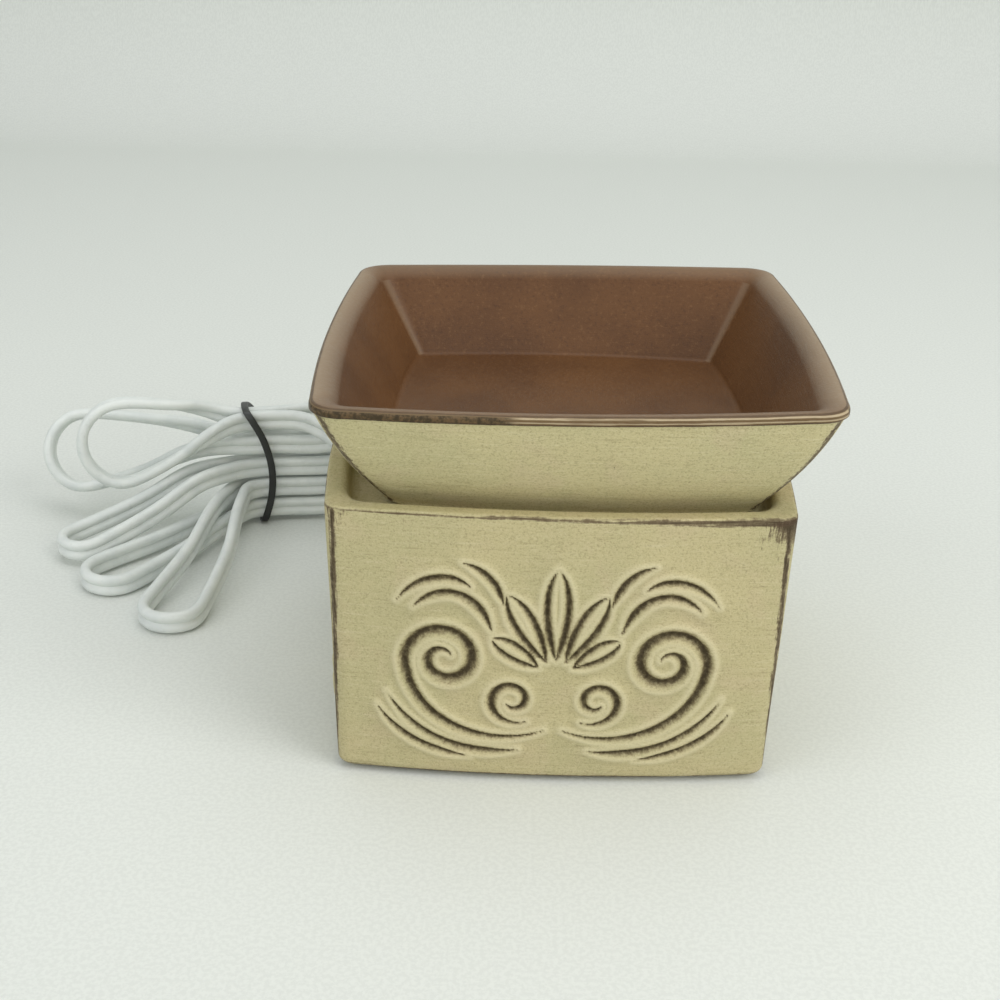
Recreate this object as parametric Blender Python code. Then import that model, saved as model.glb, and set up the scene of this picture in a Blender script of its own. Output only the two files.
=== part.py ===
"""Electric wax warmer: a square ceramic vessel with a lamp inside, a square
flared wax dish resting in its rim, and a mains cord with a rotary switch,
folded into a tied hank behind the vessel.

Lengths are in metres, +Z is up and the front of the warmer faces -Y. The
origin is on the table, under the middle of the dish."""

from math import acos, atan2, cos, pi, radians, sin, sqrt

import bmesh
import bpy
from mathutils import Vector

MM = 0.001
GAP = 0.3 * MM              # clearance between pieces that rest on each other
UP = Vector((0.0, 0.0, 1.0))

# Ceramic vessel
BODY_SHIFT_X = -2.9 * MM    # the dish was set down this far right of the vessel
BODY_TOP_HALF = 55.3 * MM   # half the square at its corners, at the rim
BODY_BASE_HALF = 54.0 * MM  # the same at the foot
BODY_BOW = 3.3 * MM         # how far each side swells past its corners
BODY_HEIGHT = 75.0 * MM     # rim above the table
BODY_CORNER = 4.2 * MM      # radius of the upright edges
FOOT_EDGE = 2.4 * MM        # rounding at the foot
FOOT_WALL = 7.2 * MM
RIM_WALL = 5.2 * MM
CHAMBER_WALL = 5.6 * MM
FLOOR_UNDER = 10.0 * MM     # underside of the ceramic floor
FLOOR_THICK = 4.0 * MM
LEDGE_DROP = 4.9 * MM       # ledge that carries the dish, below the rim
LEDGE_WIDTH = 15.5 * MM     # measured in from the outer face
LEDGE_THICK = 4.5 * MM
LEDGE_SLOPE = 8.5 * MM      # height of the slope that carries the ledge

# Ornament carved in each face: a palmette between two scrolls
CARVING_MIDDLE = 36.5 * MM  # above the table
CARVING_DEPTH = 0.95 * MM   # of the widest grooves
CARVING_SLOPE = 0.7         # a groove's depth against half its width
CARVING_PROUD = 0.15 * MM   # how far the cutters stand out of the face
PALMETTE_ROOT = -5.0        # below the ornament's middle, in mm
LEAF_ROOT = 5.0             # from there to the foot of each leaf, in mm

# Foot pads
PAD_RADIUS = 3.6 * MM
PAD_HEIGHT = 0.8 * MM
PAD_INSET = 6.4 * MM        # from the foot's corner to a pad's middle, each way

# Wax dish
DISH_BASE_HALF = 44.8 * MM
DISH_BASE_BOW = 3.2 * MM
DISH_BULGE = 1.4 * MM       # swell of the outside, half way up
DISH_RIM_HALF = 60.5 * MM
DISH_RIM_BOW = 3.2 * MM
DISH_HEIGHT = 31.8 * MM     # rim corners above its foot ring
DISH_SAG = 0.4 * MM         # how much lower the rim is half way along a side
DISH_LEAN = 1.0 * MM        # how much higher the rim came out of the kiln on the right
DISH_CORNER = 8.6 * MM
DISH_EDGE = 1.1 * MM        # rounding of the rim's outer edge
DISH_LIP = 6.0 * MM         # radius of the lip where it turns inwards
DISH_BAND = 2.2 * MM        # upright band around the rim
DISH_CREASE = 2.4 * MM      # radius of the inside corners, at the floor
DISH_FLOOR_HALF = 42.4 * MM
DISH_FLOOR_RISE = 8.7 * MM  # floor of the wax pool above the foot ring
DISH_FOOT_RING = 8.0 * MM
DISH_FOOT_RECESS = 3.4 * MM

# Lamp socket and its screw thread (candelabra size)
SOCKET_RADIUS = 10.5 * MM
SOCKET_BOTTOM = 2.6 * MM
SOCKET_TOP = 29.0 * MM
SOCKET_BORE = 7.4 * MM
SOCKET_WEB_TOP = 9.0 * MM   # web between the wiring chamber and the bore
SOCKET_WEB = 1.6 * MM
CHAMBER_RADIUS = 6.4 * MM
CHAMBER_FLOOR = 1.0 * MM
FLANGE_RADIUS = 14.6 * MM
FLANGE_THICK = 1.8 * MM
GASKET_THICK = 0.8 * MM
NUT_RADIUS = 14.8 * MM
NUT_HEIGHT = 2.0 * MM
THREAD_PITCH = 2.54 * MM
THREAD_CREST = 5.9 * MM     # outer radius of the lamp's thread
THREAD_DEPTH = 0.55 * MM
THREAD_CLEARANCE = 0.35 * MM
THREAD_TURNS = 4
LINER_BASE = 0.8 * MM

# Lamp
BULB_RADIUS = 10.8 * MM
BULB_LENGTH = 47.0 * MM
BULB_WALL = 0.8 * MM
BULB_NECK = 4.5 * MM
CAP_WALL = 0.55 * MM
CAP_LENGTH = 17.0 * MM
INSULATOR_HEIGHT = 2.0 * MM
SOLDER_HEIGHT = 1.5 * MM
SOLDER_RADIUS = 1.9 * MM
STEM_RADIUS = 3.2 * MM
FILAMENT_SPAN = 9.0 * MM
FILAMENT_RADIUS = 0.45 * MM
LEAD_RADIUS = 0.3 * MM

# Flat two-core cord
CORD_WIDTH = 6.8 * MM
CORD_THICK = 3.5 * MM
CORD_HEIGHT = 5.4 * MM      # middle of the cord where it leaves the vessel
CORD_EXIT_X = 24.0 * MM

# Strain relief in the back of the vessel
NOTCH_WIDTH = 9.4 * MM
NOTCH_TOP = 9.2 * MM
RELIEF_FLANGE = 14.0 * MM
RELIEF_FLANGE_THICK = 1.8 * MM
RELIEF_LIP = 1.6 * MM
RELIEF_LENGTH = 20.0 * MM
RELIEF_TIP_WALL = 1.0 * MM

# Rotary switch in the cord
SWITCH_CENTRE = Vector((24.0 * MM, 133.0 * MM, 0.0))
SWITCH_LENGTH = 58.0 * MM
SWITCH_WIDTH = 21.0 * MM
SWITCH_HEIGHT = 16.0 * MM
SWITCH_END_WIDTH = 12.0 * MM
SWITCH_END_HEIGHT = 10.0 * MM
SWITCH_SIDE_WALL = 1.8 * MM
SWITCH_CAVITY_LENGTH = 30.0 * MM
WHEEL_RADIUS = 12.2 * MM
WHEEL_THICK = 5.0 * MM
WHEEL_HUB = 3.4 * MM
WHEEL_RIBS = 24
WHEEL_RIB_DEPTH = 0.45 * MM
AXLE_RADIUS = 1.25 * MM
SCREW_HEAD = 2.5 * MM
SCREW_HEAD_HEIGHT = 1.5 * MM
SCREW_SHANK = 1.2 * MM
SCREW_REACH = 17.5 * MM     # from the switch's middle, along the cord
SCREW_SIDE = 6.4 * MM
CONTACT_LENGTH = 5.0 * MM
CONTACT_HEIGHT = 3.0 * MM
CONTACT_THICK = 0.8 * MM

# Plug
PLUG_LENGTH = 27.0 * MM
PLUG_WIDTH = 24.0 * MM
PLUG_THICK = 13.0 * MM
PLUG_NOSE_LENGTH = 7.0 * MM
BLADE_SPACING = 12.7 * MM
BLADE_LENGTH = 16.0 * MM
BLADE_DEPTH = 8.0 * MM
BLADE_THICK = 1.5 * MM
BLADE_NARROW = 6.3 * MM
BLADE_WIDE = 7.9 * MM

# Hank of folded cord, drawn in at the tie
TIE_POINT = Vector((-101.0 * MM, 94.0 * MM, 0.0))
HANK_ANGLE = 13.0           # degrees from +X to the hank's length
ROW_STEP = CORD_WIDTH + 0.8 * MM
COLUMN_HALF = (CORD_THICK + 0.9 * MM) / 2
FIRST_ROW = 5.1 * MM
ON_TABLE = 3.7 * MM         # middle of a cord that stands on its edge
WAIST_HALF = 5.0 * MM
TIE_WIDTH = 2.4 * MM
TIE_THICK = 0.8 * MM
TIE_BULGE = 5.5 * MM        # how far it slips along the strands at mid height
TIE_LEAN = 1.5 * MM
LOOP_GROWTH = 1.25

# Each left loop: row at the tie, then how far its end reaches out, to the
# front and up, the degrees it turns to the front as it leaves the tie and as
# it arrives, its half width and the tilt of its plane
LEFT_LOOPS = (
    (0.0, 57 * MM, 46.5 * MM, 3.7 * MM, 37, 36, 9 * MM, 0),
    (1.0, 36 * MM, 76 * MM, 3.7 * MM, 48, 60, 9 * MM, 0),
    (2.0, 67 * MM, 22 * MM, 5.5 * MM, 18, 16, 8 * MM, 0),
    (3.1, 72 * MM, -21 * MM, 22 * MM, -24, -12, 13 * MM, 66),
    (4.25, 59 * MM, 2 * MM, 32 * MM, 4, 0, 14 * MM, 82),
)
# The same for the loops behind the vessel, which climb one row each
RIGHT_LOOPS = (
    (72 * MM, -2 * MM, 8.5 * MM, 0, 0, 10 * MM, 0),
    (68 * MM, -2 * MM, 16.2 * MM, 0, 0, 10 * MM, 0),
    (73 * MM, 0 * MM, 24 * MM, 0, 2, 10 * MM, 0),
    (64 * MM, 2 * MM, 37 * MM, 0, 0, 10 * MM, 0),
)

ROUND = 32                  # steps round a turned piece
HANK_RIGHT = Vector((cos(radians(HANK_ANGLE)), sin(radians(HANK_ANGLE)), 0.0))
HANK_BACK = Vector((-HANK_RIGHT.y, HANK_RIGHT.x, 0.0))

FLOOR_TOP = FLOOR_UNDER + FLOOR_THICK
LEDGE_TOP = BODY_HEIGHT - LEDGE_DROP
DISH_BOTTOM = LEDGE_TOP + GAP
DISH_TOP = DISH_BOTTOM + DISH_HEIGHT
DISH_FLOOR_TOP = DISH_BOTTOM + DISH_FLOOR_RISE
VESSEL_BOTTOM = PAD_HEIGHT + GAP
LAMP_AXIS = Vector((BODY_SHIFT_X, 0.0, 0.0))
LINER_BOTTOM = SOCKET_WEB_TOP + GAP
CONTACT_TOP = LINER_BOTTOM + LINER_BASE
LAMP_FOOT = CONTACT_TOP + GAP
LAMP_TOP = LAMP_FOOT + BULB_LENGTH
CAP_BOTTOM = LAMP_FOOT + SOLDER_HEIGHT + INSULATOR_HEIGHT + GAP
CAP_TOP = LAMP_FOOT + CAP_LENGTH
LINER_TOP = SOCKET_TOP - 1.5 * MM
SWITCH_MIDDLE = SWITCH_HEIGHT / 2
CHANNEL_WIDTH = CORD_WIDTH + 2 * GAP
CHANNEL_THICK = CORD_THICK + 2 * GAP


def clear_scene():
    for obj in list(bpy.data.objects):
        bpy.data.objects.remove(obj, do_unlink=True)


def material(name, colour, roughness, metallic=0.0, alpha=1.0):
    found = bpy.data.materials.get(name)
    if found:
        return found
    made = bpy.data.materials.new(name)
    made.use_nodes = True
    shader = made.node_tree.nodes["Principled BSDF"]
    shader.inputs["Base Color"].default_value = (*colour, 1.0)
    shader.inputs["Roughness"].default_value = roughness
    shader.inputs["Metallic"].default_value = metallic
    shader.inputs["Alpha"].default_value = alpha
    return made


def cream_glaze():
    return material("cream_glaze", (0.56, 0.50, 0.33), 0.6)


def brown_glaze():
    return material("brown_glaze", (0.12, 0.065, 0.036), 0.42)


def white_plastic():
    return material("white_plastic", (0.72, 0.74, 0.72), 0.45)


def white_cord():
    return material("white_cord", (0.70, 0.74, 0.72), 0.4)


def brass():
    return material("brass", (0.72, 0.52, 0.22), 0.3, 1.0)


def steel():
    return material("steel", (0.6, 0.6, 0.58), 0.3, 1.0)


def dark_moulding():
    return material("dark_moulding", (0.03, 0.028, 0.026), 0.45)


def clear_glass():
    return material("clear_glass", (0.9, 0.92, 0.92), 0.05, 0.0, 0.35)


def grey_rubber():
    return material("grey_rubber", (0.2, 0.2, 0.19), 0.8)


def add_object(name, bm, finish, location=(0, 0, 0), smooth=40):
    """Close off a bmesh as one named object with its faces pointing out."""
    bmesh.ops.recalc_face_normals(bm, faces=bm.faces)
    mesh = bpy.data.meshes.new(name)
    bm.to_mesh(mesh)
    bm.free()
    mesh.materials.append(finish)
    mesh.shade_smooth()
    mesh.set_sharp_from_angle(angle=radians(smooth))
    obj = bpy.data.objects.new(name, mesh)
    obj.location = location
    bpy.context.collection.objects.link(obj)
    return obj


def cutter(name, bm, location=(0, 0, 0)):
    obj = add_object(name, bm, steel(), location)
    obj.hide_render = True
    obj.display_type = "WIRE"
    return obj


def cut(obj, tool):
    step = obj.modifiers.new(tool.name, "BOOLEAN")
    step.operation = "DIFFERENCE"
    step.solver = "EXACT"
    step.object = tool


def box_mesh(low, high):
    bm = bmesh.new()
    bmesh.ops.create_cube(bm, size=1.0)
    size = Vector(high) - Vector(low)
    middle = (Vector(high) + Vector(low)) / 2
    bmesh.ops.scale(bm, vec=size, verts=bm.verts)
    bmesh.ops.translate(bm, vec=middle, verts=bm.verts)
    return bm


def turned_mesh(profile, closed=False, steps=ROUND):
    """Spin (radius, height) points about Z. An open profile starts and ends
    on the axis, and a closed one is a ring's section."""
    bm = bmesh.new()
    verts = [bm.verts.new((r, 0.0, z)) for r, z in profile]
    edges = [bm.edges.new(pair) for pair in zip(verts, verts[1:])]
    if closed:
        edges.append(bm.edges.new((verts[-1], verts[0])))
    bmesh.ops.spin(bm, geom=verts + edges, axis=UP, cent=(0, 0, 0),
                   dvec=(0, 0, 0), angle=2 * pi, steps=steps)
    bmesh.ops.remove_doubles(bm, verts=bm.verts, dist=0.002 * MM)
    return bm


def turned(name, profile, finish, location=(0, 0, 0), closed=False, steps=ROUND):
    return add_object(name, turned_mesh(profile, closed, steps), finish, location)


def loft_mesh(rings, cycle=False):
    """Skin equal rings of points. A cycle joins its last ring to its first;
    otherwise both ends are capped flat."""
    bm = bmesh.new()
    rows = [[bm.verts.new(p) for p in ring] for ring in rings]
    count = len(rows[0])
    pairs = list(zip(rows, rows[1:]))
    if cycle:
        pairs.append((rows[-1], rows[0]))
    for low, high in pairs:
        for i in range(count):
            j = (i + 1) % count
            bm.faces.new((low[i], low[j], high[j], high[i]))
    if not cycle:
        bm.faces.new(rows[0])
        bm.faces.new(rows[-1])
    return bm


def pillow_ring(half, bow, corner, z, sag=0.0, side_steps=8, corner_steps=3):
    """A square ring whose sides swell outwards and whose corners are round."""
    reach = 1.0 - corner / half

    def side_point(t):
        return t * half, half + bow * (1.0 - t * t), sag * (1.0 - t * t)

    ends = [side_point(-reach), side_point(reach)]
    ring = []
    for quarter in range(4):
        angle = quarter * pi / 2
        points = [side_point(-reach + 2 * reach * i / side_steps)
                  for i in range(side_steps + 1)]
        x0, y0, s0 = ends[1]
        x1, y1 = y0, x0
        for i in range(1, corner_steps + 1):
            s = i / (corner_steps + 1)
            a = (1 - s) ** 2
            b = 2 * s * (1 - s)
            c = s * s
            points.append((a * x0 + b * y0 + c * x1, a * y0 + b * y0 + c * y1, s0))
        for x, y, drop in points:
            ring.append(Vector((x * cos(angle) + y * sin(angle),
                                y * cos(angle) - x * sin(angle), z - drop)))
    return ring


def slab_ring(width, height, corner, station, steps=2):
    """A rounded rectangle across a piece that runs along X."""
    corner = min(corner, 0.49 * width, 0.49 * height)
    ring = []
    for sx, sz, start in ((1, 1, 0), (-1, 1, 1), (-1, -1, 2), (1, -1, 3)):
        for i in range(steps + 1):
            angle = (start + i / steps) * pi / 2
            y = sx * (width / 2 - corner) + corner * cos(angle)
            z = sz * (height / 2 - corner) + corner * sin(angle)
            ring.append(Vector((station, y, z)))
    return ring


def vessel_half(z):
    share = (z - VESSEL_BOTTOM) / (BODY_HEIGHT - VESSEL_BOTTOM)
    return BODY_BASE_HALF + (BODY_TOP_HALF - BODY_BASE_HALF) * share


def back_face_y(x, z, inset=0.0):
    """Where the vessel's back wall lies, at a distance x from its middle."""
    half = vessel_half(z) - inset
    return half + BODY_BOW * (1.0 - (x / half) ** 2)


def build_vessel():
    ledge_under = LEDGE_TOP - LEDGE_THICK
    # inset from the outer face, height and corner radius, from the recess
    # under the floor, round the outside and down into the lamp chamber
    sections = (
        (FOOT_WALL, FLOOR_UNDER, 7.0 * MM),
        (FOOT_WALL, VESSEL_BOTTOM + 0.6 * MM, 7.0 * MM),
        (FOOT_WALL - 0.6 * MM, VESSEL_BOTTOM, 6.6 * MM),
        (0.7 * FOOT_EDGE, VESSEL_BOTTOM, BODY_CORNER),
        (0.3 * FOOT_EDGE, VESSEL_BOTTOM + 0.2 * FOOT_EDGE, BODY_CORNER),
        (0.07 * FOOT_EDGE, VESSEL_BOTTOM + 0.55 * FOOT_EDGE, BODY_CORNER),
        (0.0, VESSEL_BOTTOM + FOOT_EDGE, BODY_CORNER),
        (0.0, BODY_HEIGHT / 2, BODY_CORNER),
        (0.0, BODY_HEIGHT - 1.1 * MM, BODY_CORNER),
        (0.3 * MM, BODY_HEIGHT - 0.3 * MM, BODY_CORNER),
        (1.0 * MM, BODY_HEIGHT, BODY_CORNER),
        (RIM_WALL - 1.9 * MM, BODY_HEIGHT, 1.6 * BODY_CORNER),
        (RIM_WALL - 0.7 * MM, BODY_HEIGHT - 0.7 * MM, 1.9 * BODY_CORNER),
        (RIM_WALL, BODY_HEIGHT - 2.2 * MM, 2.1 * BODY_CORNER),
        (RIM_WALL + 0.2 * MM, LEDGE_TOP, 2.1 * BODY_CORNER),
        (LEDGE_WIDTH, LEDGE_TOP, 9.0 * MM),
        (LEDGE_WIDTH, ledge_under, 9.0 * MM),
        (CHAMBER_WALL, ledge_under - LEDGE_SLOPE, 7.0 * MM),
        (CHAMBER_WALL, FLOOR_TOP + 1.6 * MM, 7.0 * MM),
        (CHAMBER_WALL + 1.6 * MM, FLOOR_TOP, 7.0 * MM),
    )
    rings = [pillow_ring(vessel_half(z) - inset, BODY_BOW, corner, z)
             for inset, z, corner in sections]
    vessel = add_object("base_vessel", loft_mesh(rings), cream_glaze(), LAMP_AXIS)

    hole = turned_mesh(((0, 0), (SOCKET_RADIUS + GAP, 0),
                        (SOCKET_RADIUS + GAP, 3 * FLOOR_THICK), (0, 3 * FLOOR_THICK)))
    cut(vessel, cutter("socket_hole_cutter", hole,
                       LAMP_AXIS + UP * (FLOOR_UNDER - FLOOR_THICK)))
    middle = CORD_EXIT_X
    notch = box_mesh((middle - NOTCH_WIDTH / 2, BODY_BASE_HALF - 2 * FOOT_WALL, -MM),
                     (middle + NOTCH_WIDTH / 2, BODY_BASE_HALF + 2 * BODY_BOW, NOTCH_TOP))
    cut(vessel, cutter("cord_notch_cutter", notch))
    for quarter, face in enumerate(("back", "right", "front", "left")):
        carving = bmesh.new()
        for points, half in ornament():
            add_groove(carving, points, half, quarter)
        cut(vessel, cutter("carving_cutter_" + face, carving, LAMP_AXIS))
    return vessel


def bend(p0, p1, p2, p3, low, high, steps):
    """Points on a curve drawn by four control points."""
    points = []
    for i in range(steps + 1):
        t = low + (high - low) * i / steps
        a, b, c, d = (1 - t) ** 3, 3 * (1 - t) ** 2 * t, 3 * (1 - t) * t * t, t ** 3
        points.append((a * p0[0] + b * p1[0] + c * p2[0] + d * p3[0],
                       a * p0[1] + b * p1[1] + c * p2[1] + d * p3[1]))
    return points


def spiral(centre, outer, inner, start, end, steps):
    """Points on a spiral that closes in from one angle to the other."""
    points = []
    for i in range(steps + 1):
        t = i / steps
        angle = radians(start + (end - start) * t)
        radius = outer + (inner - outer) * t ** 0.85
        points.append((centre[0] + radius * cos(angle), centre[1] + radius * sin(angle)))
    return points


def leaf(angle, length, wide):
    """The two strokes that outline one leaf of the palmette."""
    out = (cos(radians(angle)), sin(radians(angle)))
    foot = (out[0] * LEAF_ROOT, PALMETTE_ROOT + out[1] * LEAF_ROOT)

    def along(share, aside):
        return (foot[0] + out[0] * share * length - out[1] * aside,
                foot[1] + out[1] * share * length + out[0] * aside)

    return [bend(foot, along(0.25, 0.75 * way * wide), along(0.75, 1.5 * way * wide),
                 along(1, 0), 0.14, 0.93, 3) for way in (-1, 1)]


def ornament():
    """Main strokes of the ornament with half their widths, in mm from the
    middle of a face. The finer strokes are too shallow to be cut here."""
    stem = bend((2.5, -20.5), (16, -27), (37, -20), (37.5, -1), 0, 1, 4)
    volute = spiral((27.5, -1), 10, 2.2, 0, 500, 12)
    half = [(stem + volute[1:], 1.35),
            (spiral((10.5, -12), 7, 1.6, -120, 330, 9), 1.05),
            (bend((9, -26.5), (22, -29), (36, -24), (42, -11), 0, 1, 4), 0.95),
            (bend((16, 8), (19, 18), (28, 21), (35, 13.5), 0, 1, 4), 1.0)]
    half.extend((stroke, 0.8) for stroke in leaf(62, 21, 2.7))
    strokes = [(stroke, 0.85) for stroke in leaf(90, 25, 3.0)]
    for points, width in half:
        strokes.append((points, width))
        strokes.append(([(-x, y) for x, y in points], width))
    return strokes


def add_groove(bm, points, half, quarter):
    """Wedge that cuts one stroke into a face, thinner towards its ends."""
    turn = quarter * pi / 2
    last = len(points) - 1

    def on_face(u, v, out):
        z = CARVING_MIDDLE + v * MM
        y = back_face_y(u * MM, z) + out
        return Vector((u * MM * cos(turn) + y * sin(turn),
                       y * cos(turn) - u * MM * sin(turn), z))

    rows = []
    for i, (u, v) in enumerate(points):
        before = points[max(i - 1, 0)]
        after = points[min(i + 1, last)]
        du = after[0] - before[0]
        dv = after[1] - before[1]
        length = sqrt(du * du + dv * dv)
        wide = half * (0.3 + 0.7 * sin(pi * min(max(i / last, 0.08), 0.92)))
        spread = wide + CARVING_PROUD / MM / CARVING_SLOPE
        aside = (-dv / length * spread, du / length * spread)
        deep = min(CARVING_DEPTH, CARVING_SLOPE * wide * MM)
        corners = (on_face(u + aside[0], v + aside[1], CARVING_PROUD),
                   on_face(u - aside[0], v - aside[1], CARVING_PROUD),
                   on_face(u, v, -deep))
        rows.append([bm.verts.new(corner) for corner in corners])
    for low, high in zip(rows, rows[1:]):
        for i in range(3):
            j = (i + 1) % 3
            bm.faces.new((low[i], low[j], high[j], high[i]))
    bm.faces.new(rows[0])
    bm.faces.new(rows[-1])


def build_foot_pads():
    # the pads sit under the thick ceramic at the four corners
    reach = BODY_BASE_HALF - PAD_INSET
    profile = ((0, 0), (PAD_RADIUS - 0.3 * MM, 0), (PAD_RADIUS, 0.3 * MM),
               (PAD_RADIUS, PAD_HEIGHT), (0, PAD_HEIGHT))
    corners = {"front_left": (-1, -1), "front_right": (1, -1),
               "back_left": (-1, 1), "back_right": (1, 1)}
    for name, (sx, sy) in corners.items():
        turned("foot_pad_" + name, profile, grey_rubber(),
               LAMP_AXIS + Vector((sx * reach, sy * reach, 0)), steps=20)


def build_dish():
    band_bottom = DISH_TOP - DISH_BAND
    recess_half = DISH_BASE_HALF - DISH_FOOT_RING
    lip_half = DISH_RIM_HALF - DISH_EDGE
    # the lip turns inwards until it lies along the inner wall
    reach = lip_half - DISH_FLOOR_HALF - 0.8 * MM
    drop = DISH_TOP - DISH_LIP - DISH_FLOOR_TOP - 1.2 * MM
    lip_turn = pi / 2 + atan2(drop, reach) - acos(DISH_LIP / sqrt(reach ** 2 + drop ** 2))
    lip = []
    for share in (0.0, 0.3, 0.65, 1.0):
        angle = lip_turn * share
        lip.append((lip_half - DISH_LIP * sin(angle), DISH_TOP - DISH_LIP * (1 - cos(angle)),
                    DISH_RIM_BOW, DISH_CORNER * (1 - 0.35 * share), 1))
    # the outside swells a little between the foot and the rim's band
    foot = (DISH_BASE_HALF + 0.4 * MM, DISH_BOTTOM + 1.6 * MM)
    under_band = (DISH_RIM_HALF - 0.7 * MM, band_bottom - 0.5 * MM)
    side = []
    for share in (0.0, 0.33, 0.7, 1.0):
        swell = 4 * DISH_BULGE * share * (1 - share)
        side.append((foot[0] + (under_band[0] - foot[0]) * share + swell,
                     foot[1] + (under_band[1] - foot[1]) * share,
                     DISH_BASE_BOW + (DISH_RIM_BOW - DISH_BASE_BOW) * share, DISH_CORNER, share))
    # half width, height, bow, corner and share of the rim's sag and lean, from
    # the recess under the foot ring, up the outside, over the lip and down inside
    sections = (
        (recess_half - MM, DISH_BOTTOM + DISH_FOOT_RECESS, DISH_BASE_BOW, 8.0 * MM, 0),
        (recess_half, DISH_BOTTOM, DISH_BASE_BOW, 8.0 * MM, 0),
        (DISH_BASE_HALF - 1.6 * MM, DISH_BOTTOM, DISH_BASE_BOW, DISH_CORNER, 0),
        (DISH_BASE_HALF - 0.4 * MM, DISH_BOTTOM + 0.6 * MM, DISH_BASE_BOW, DISH_CORNER, 0),
        *side,
        (DISH_RIM_HALF, band_bottom + 0.5 * MM, DISH_RIM_BOW, DISH_CORNER, 1),
        (DISH_RIM_HALF, DISH_TOP - DISH_EDGE, DISH_RIM_BOW, DISH_CORNER, 1),
        (DISH_RIM_HALF - 0.3 * DISH_EDGE, DISH_TOP - 0.3 * DISH_EDGE, DISH_RIM_BOW,
         DISH_CORNER, 1),
        *lip,
        (DISH_FLOOR_HALF + 0.8 * MM, DISH_FLOOR_TOP + 1.2 * MM, DISH_BASE_BOW, DISH_CREASE, 0),
        (DISH_FLOOR_HALF, DISH_FLOOR_TOP + 0.4 * MM, DISH_BASE_BOW, DISH_CREASE, 0),
        (DISH_FLOOR_HALF - 1.0 * MM, DISH_FLOOR_TOP, DISH_BASE_BOW, DISH_CREASE, 0),
    )
    rings = []
    for half, z, bow, corner, share in sections:
        ring = pillow_ring(half, bow, corner, z, share * DISH_SAG)
        for point in ring:
            point.z += share * DISH_LEAN * point.x / DISH_RIM_HALF
        rings.append(ring)
    add_object("wax_dish", loft_mesh(rings), brown_glaze())


def thread_radius(base, angle, z):
    """The rolled thread's radius: a wave of THREAD_DEPTH that climbs one
    pitch in each turn, right handed."""
    phase = 2 * pi * (z / THREAD_PITCH) - angle
    return base - THREAD_DEPTH / 2 * (1 - cos(phase))


def threaded_rings(base, low, high, fade_to, steps, per_pitch):
    """Rings up a threaded wall, faded to a plain radius at both ends."""
    count = int(round((high - low) / THREAD_PITCH * per_pitch))
    rings = []
    for k in range(count + 1):
        z = low + (high - low) * k / count
        near_end = min(k, count - k) / per_pitch
        share = min(1.0, 2.0 * near_end)
        ring = []
        for i in range(steps):
            angle = 2 * pi * i / steps
            radius = fade_to + (thread_radius(base, angle, z) - fade_to) * share
            ring.append(Vector((radius * cos(angle), radius * sin(angle), z)))
        rings.append(ring)
    return rings


def plain_ring(radius, z, steps):
    return [Vector((radius * cos(2 * pi * i / steps), radius * sin(2 * pi * i / steps), z))
            for i in range(steps)]


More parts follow.
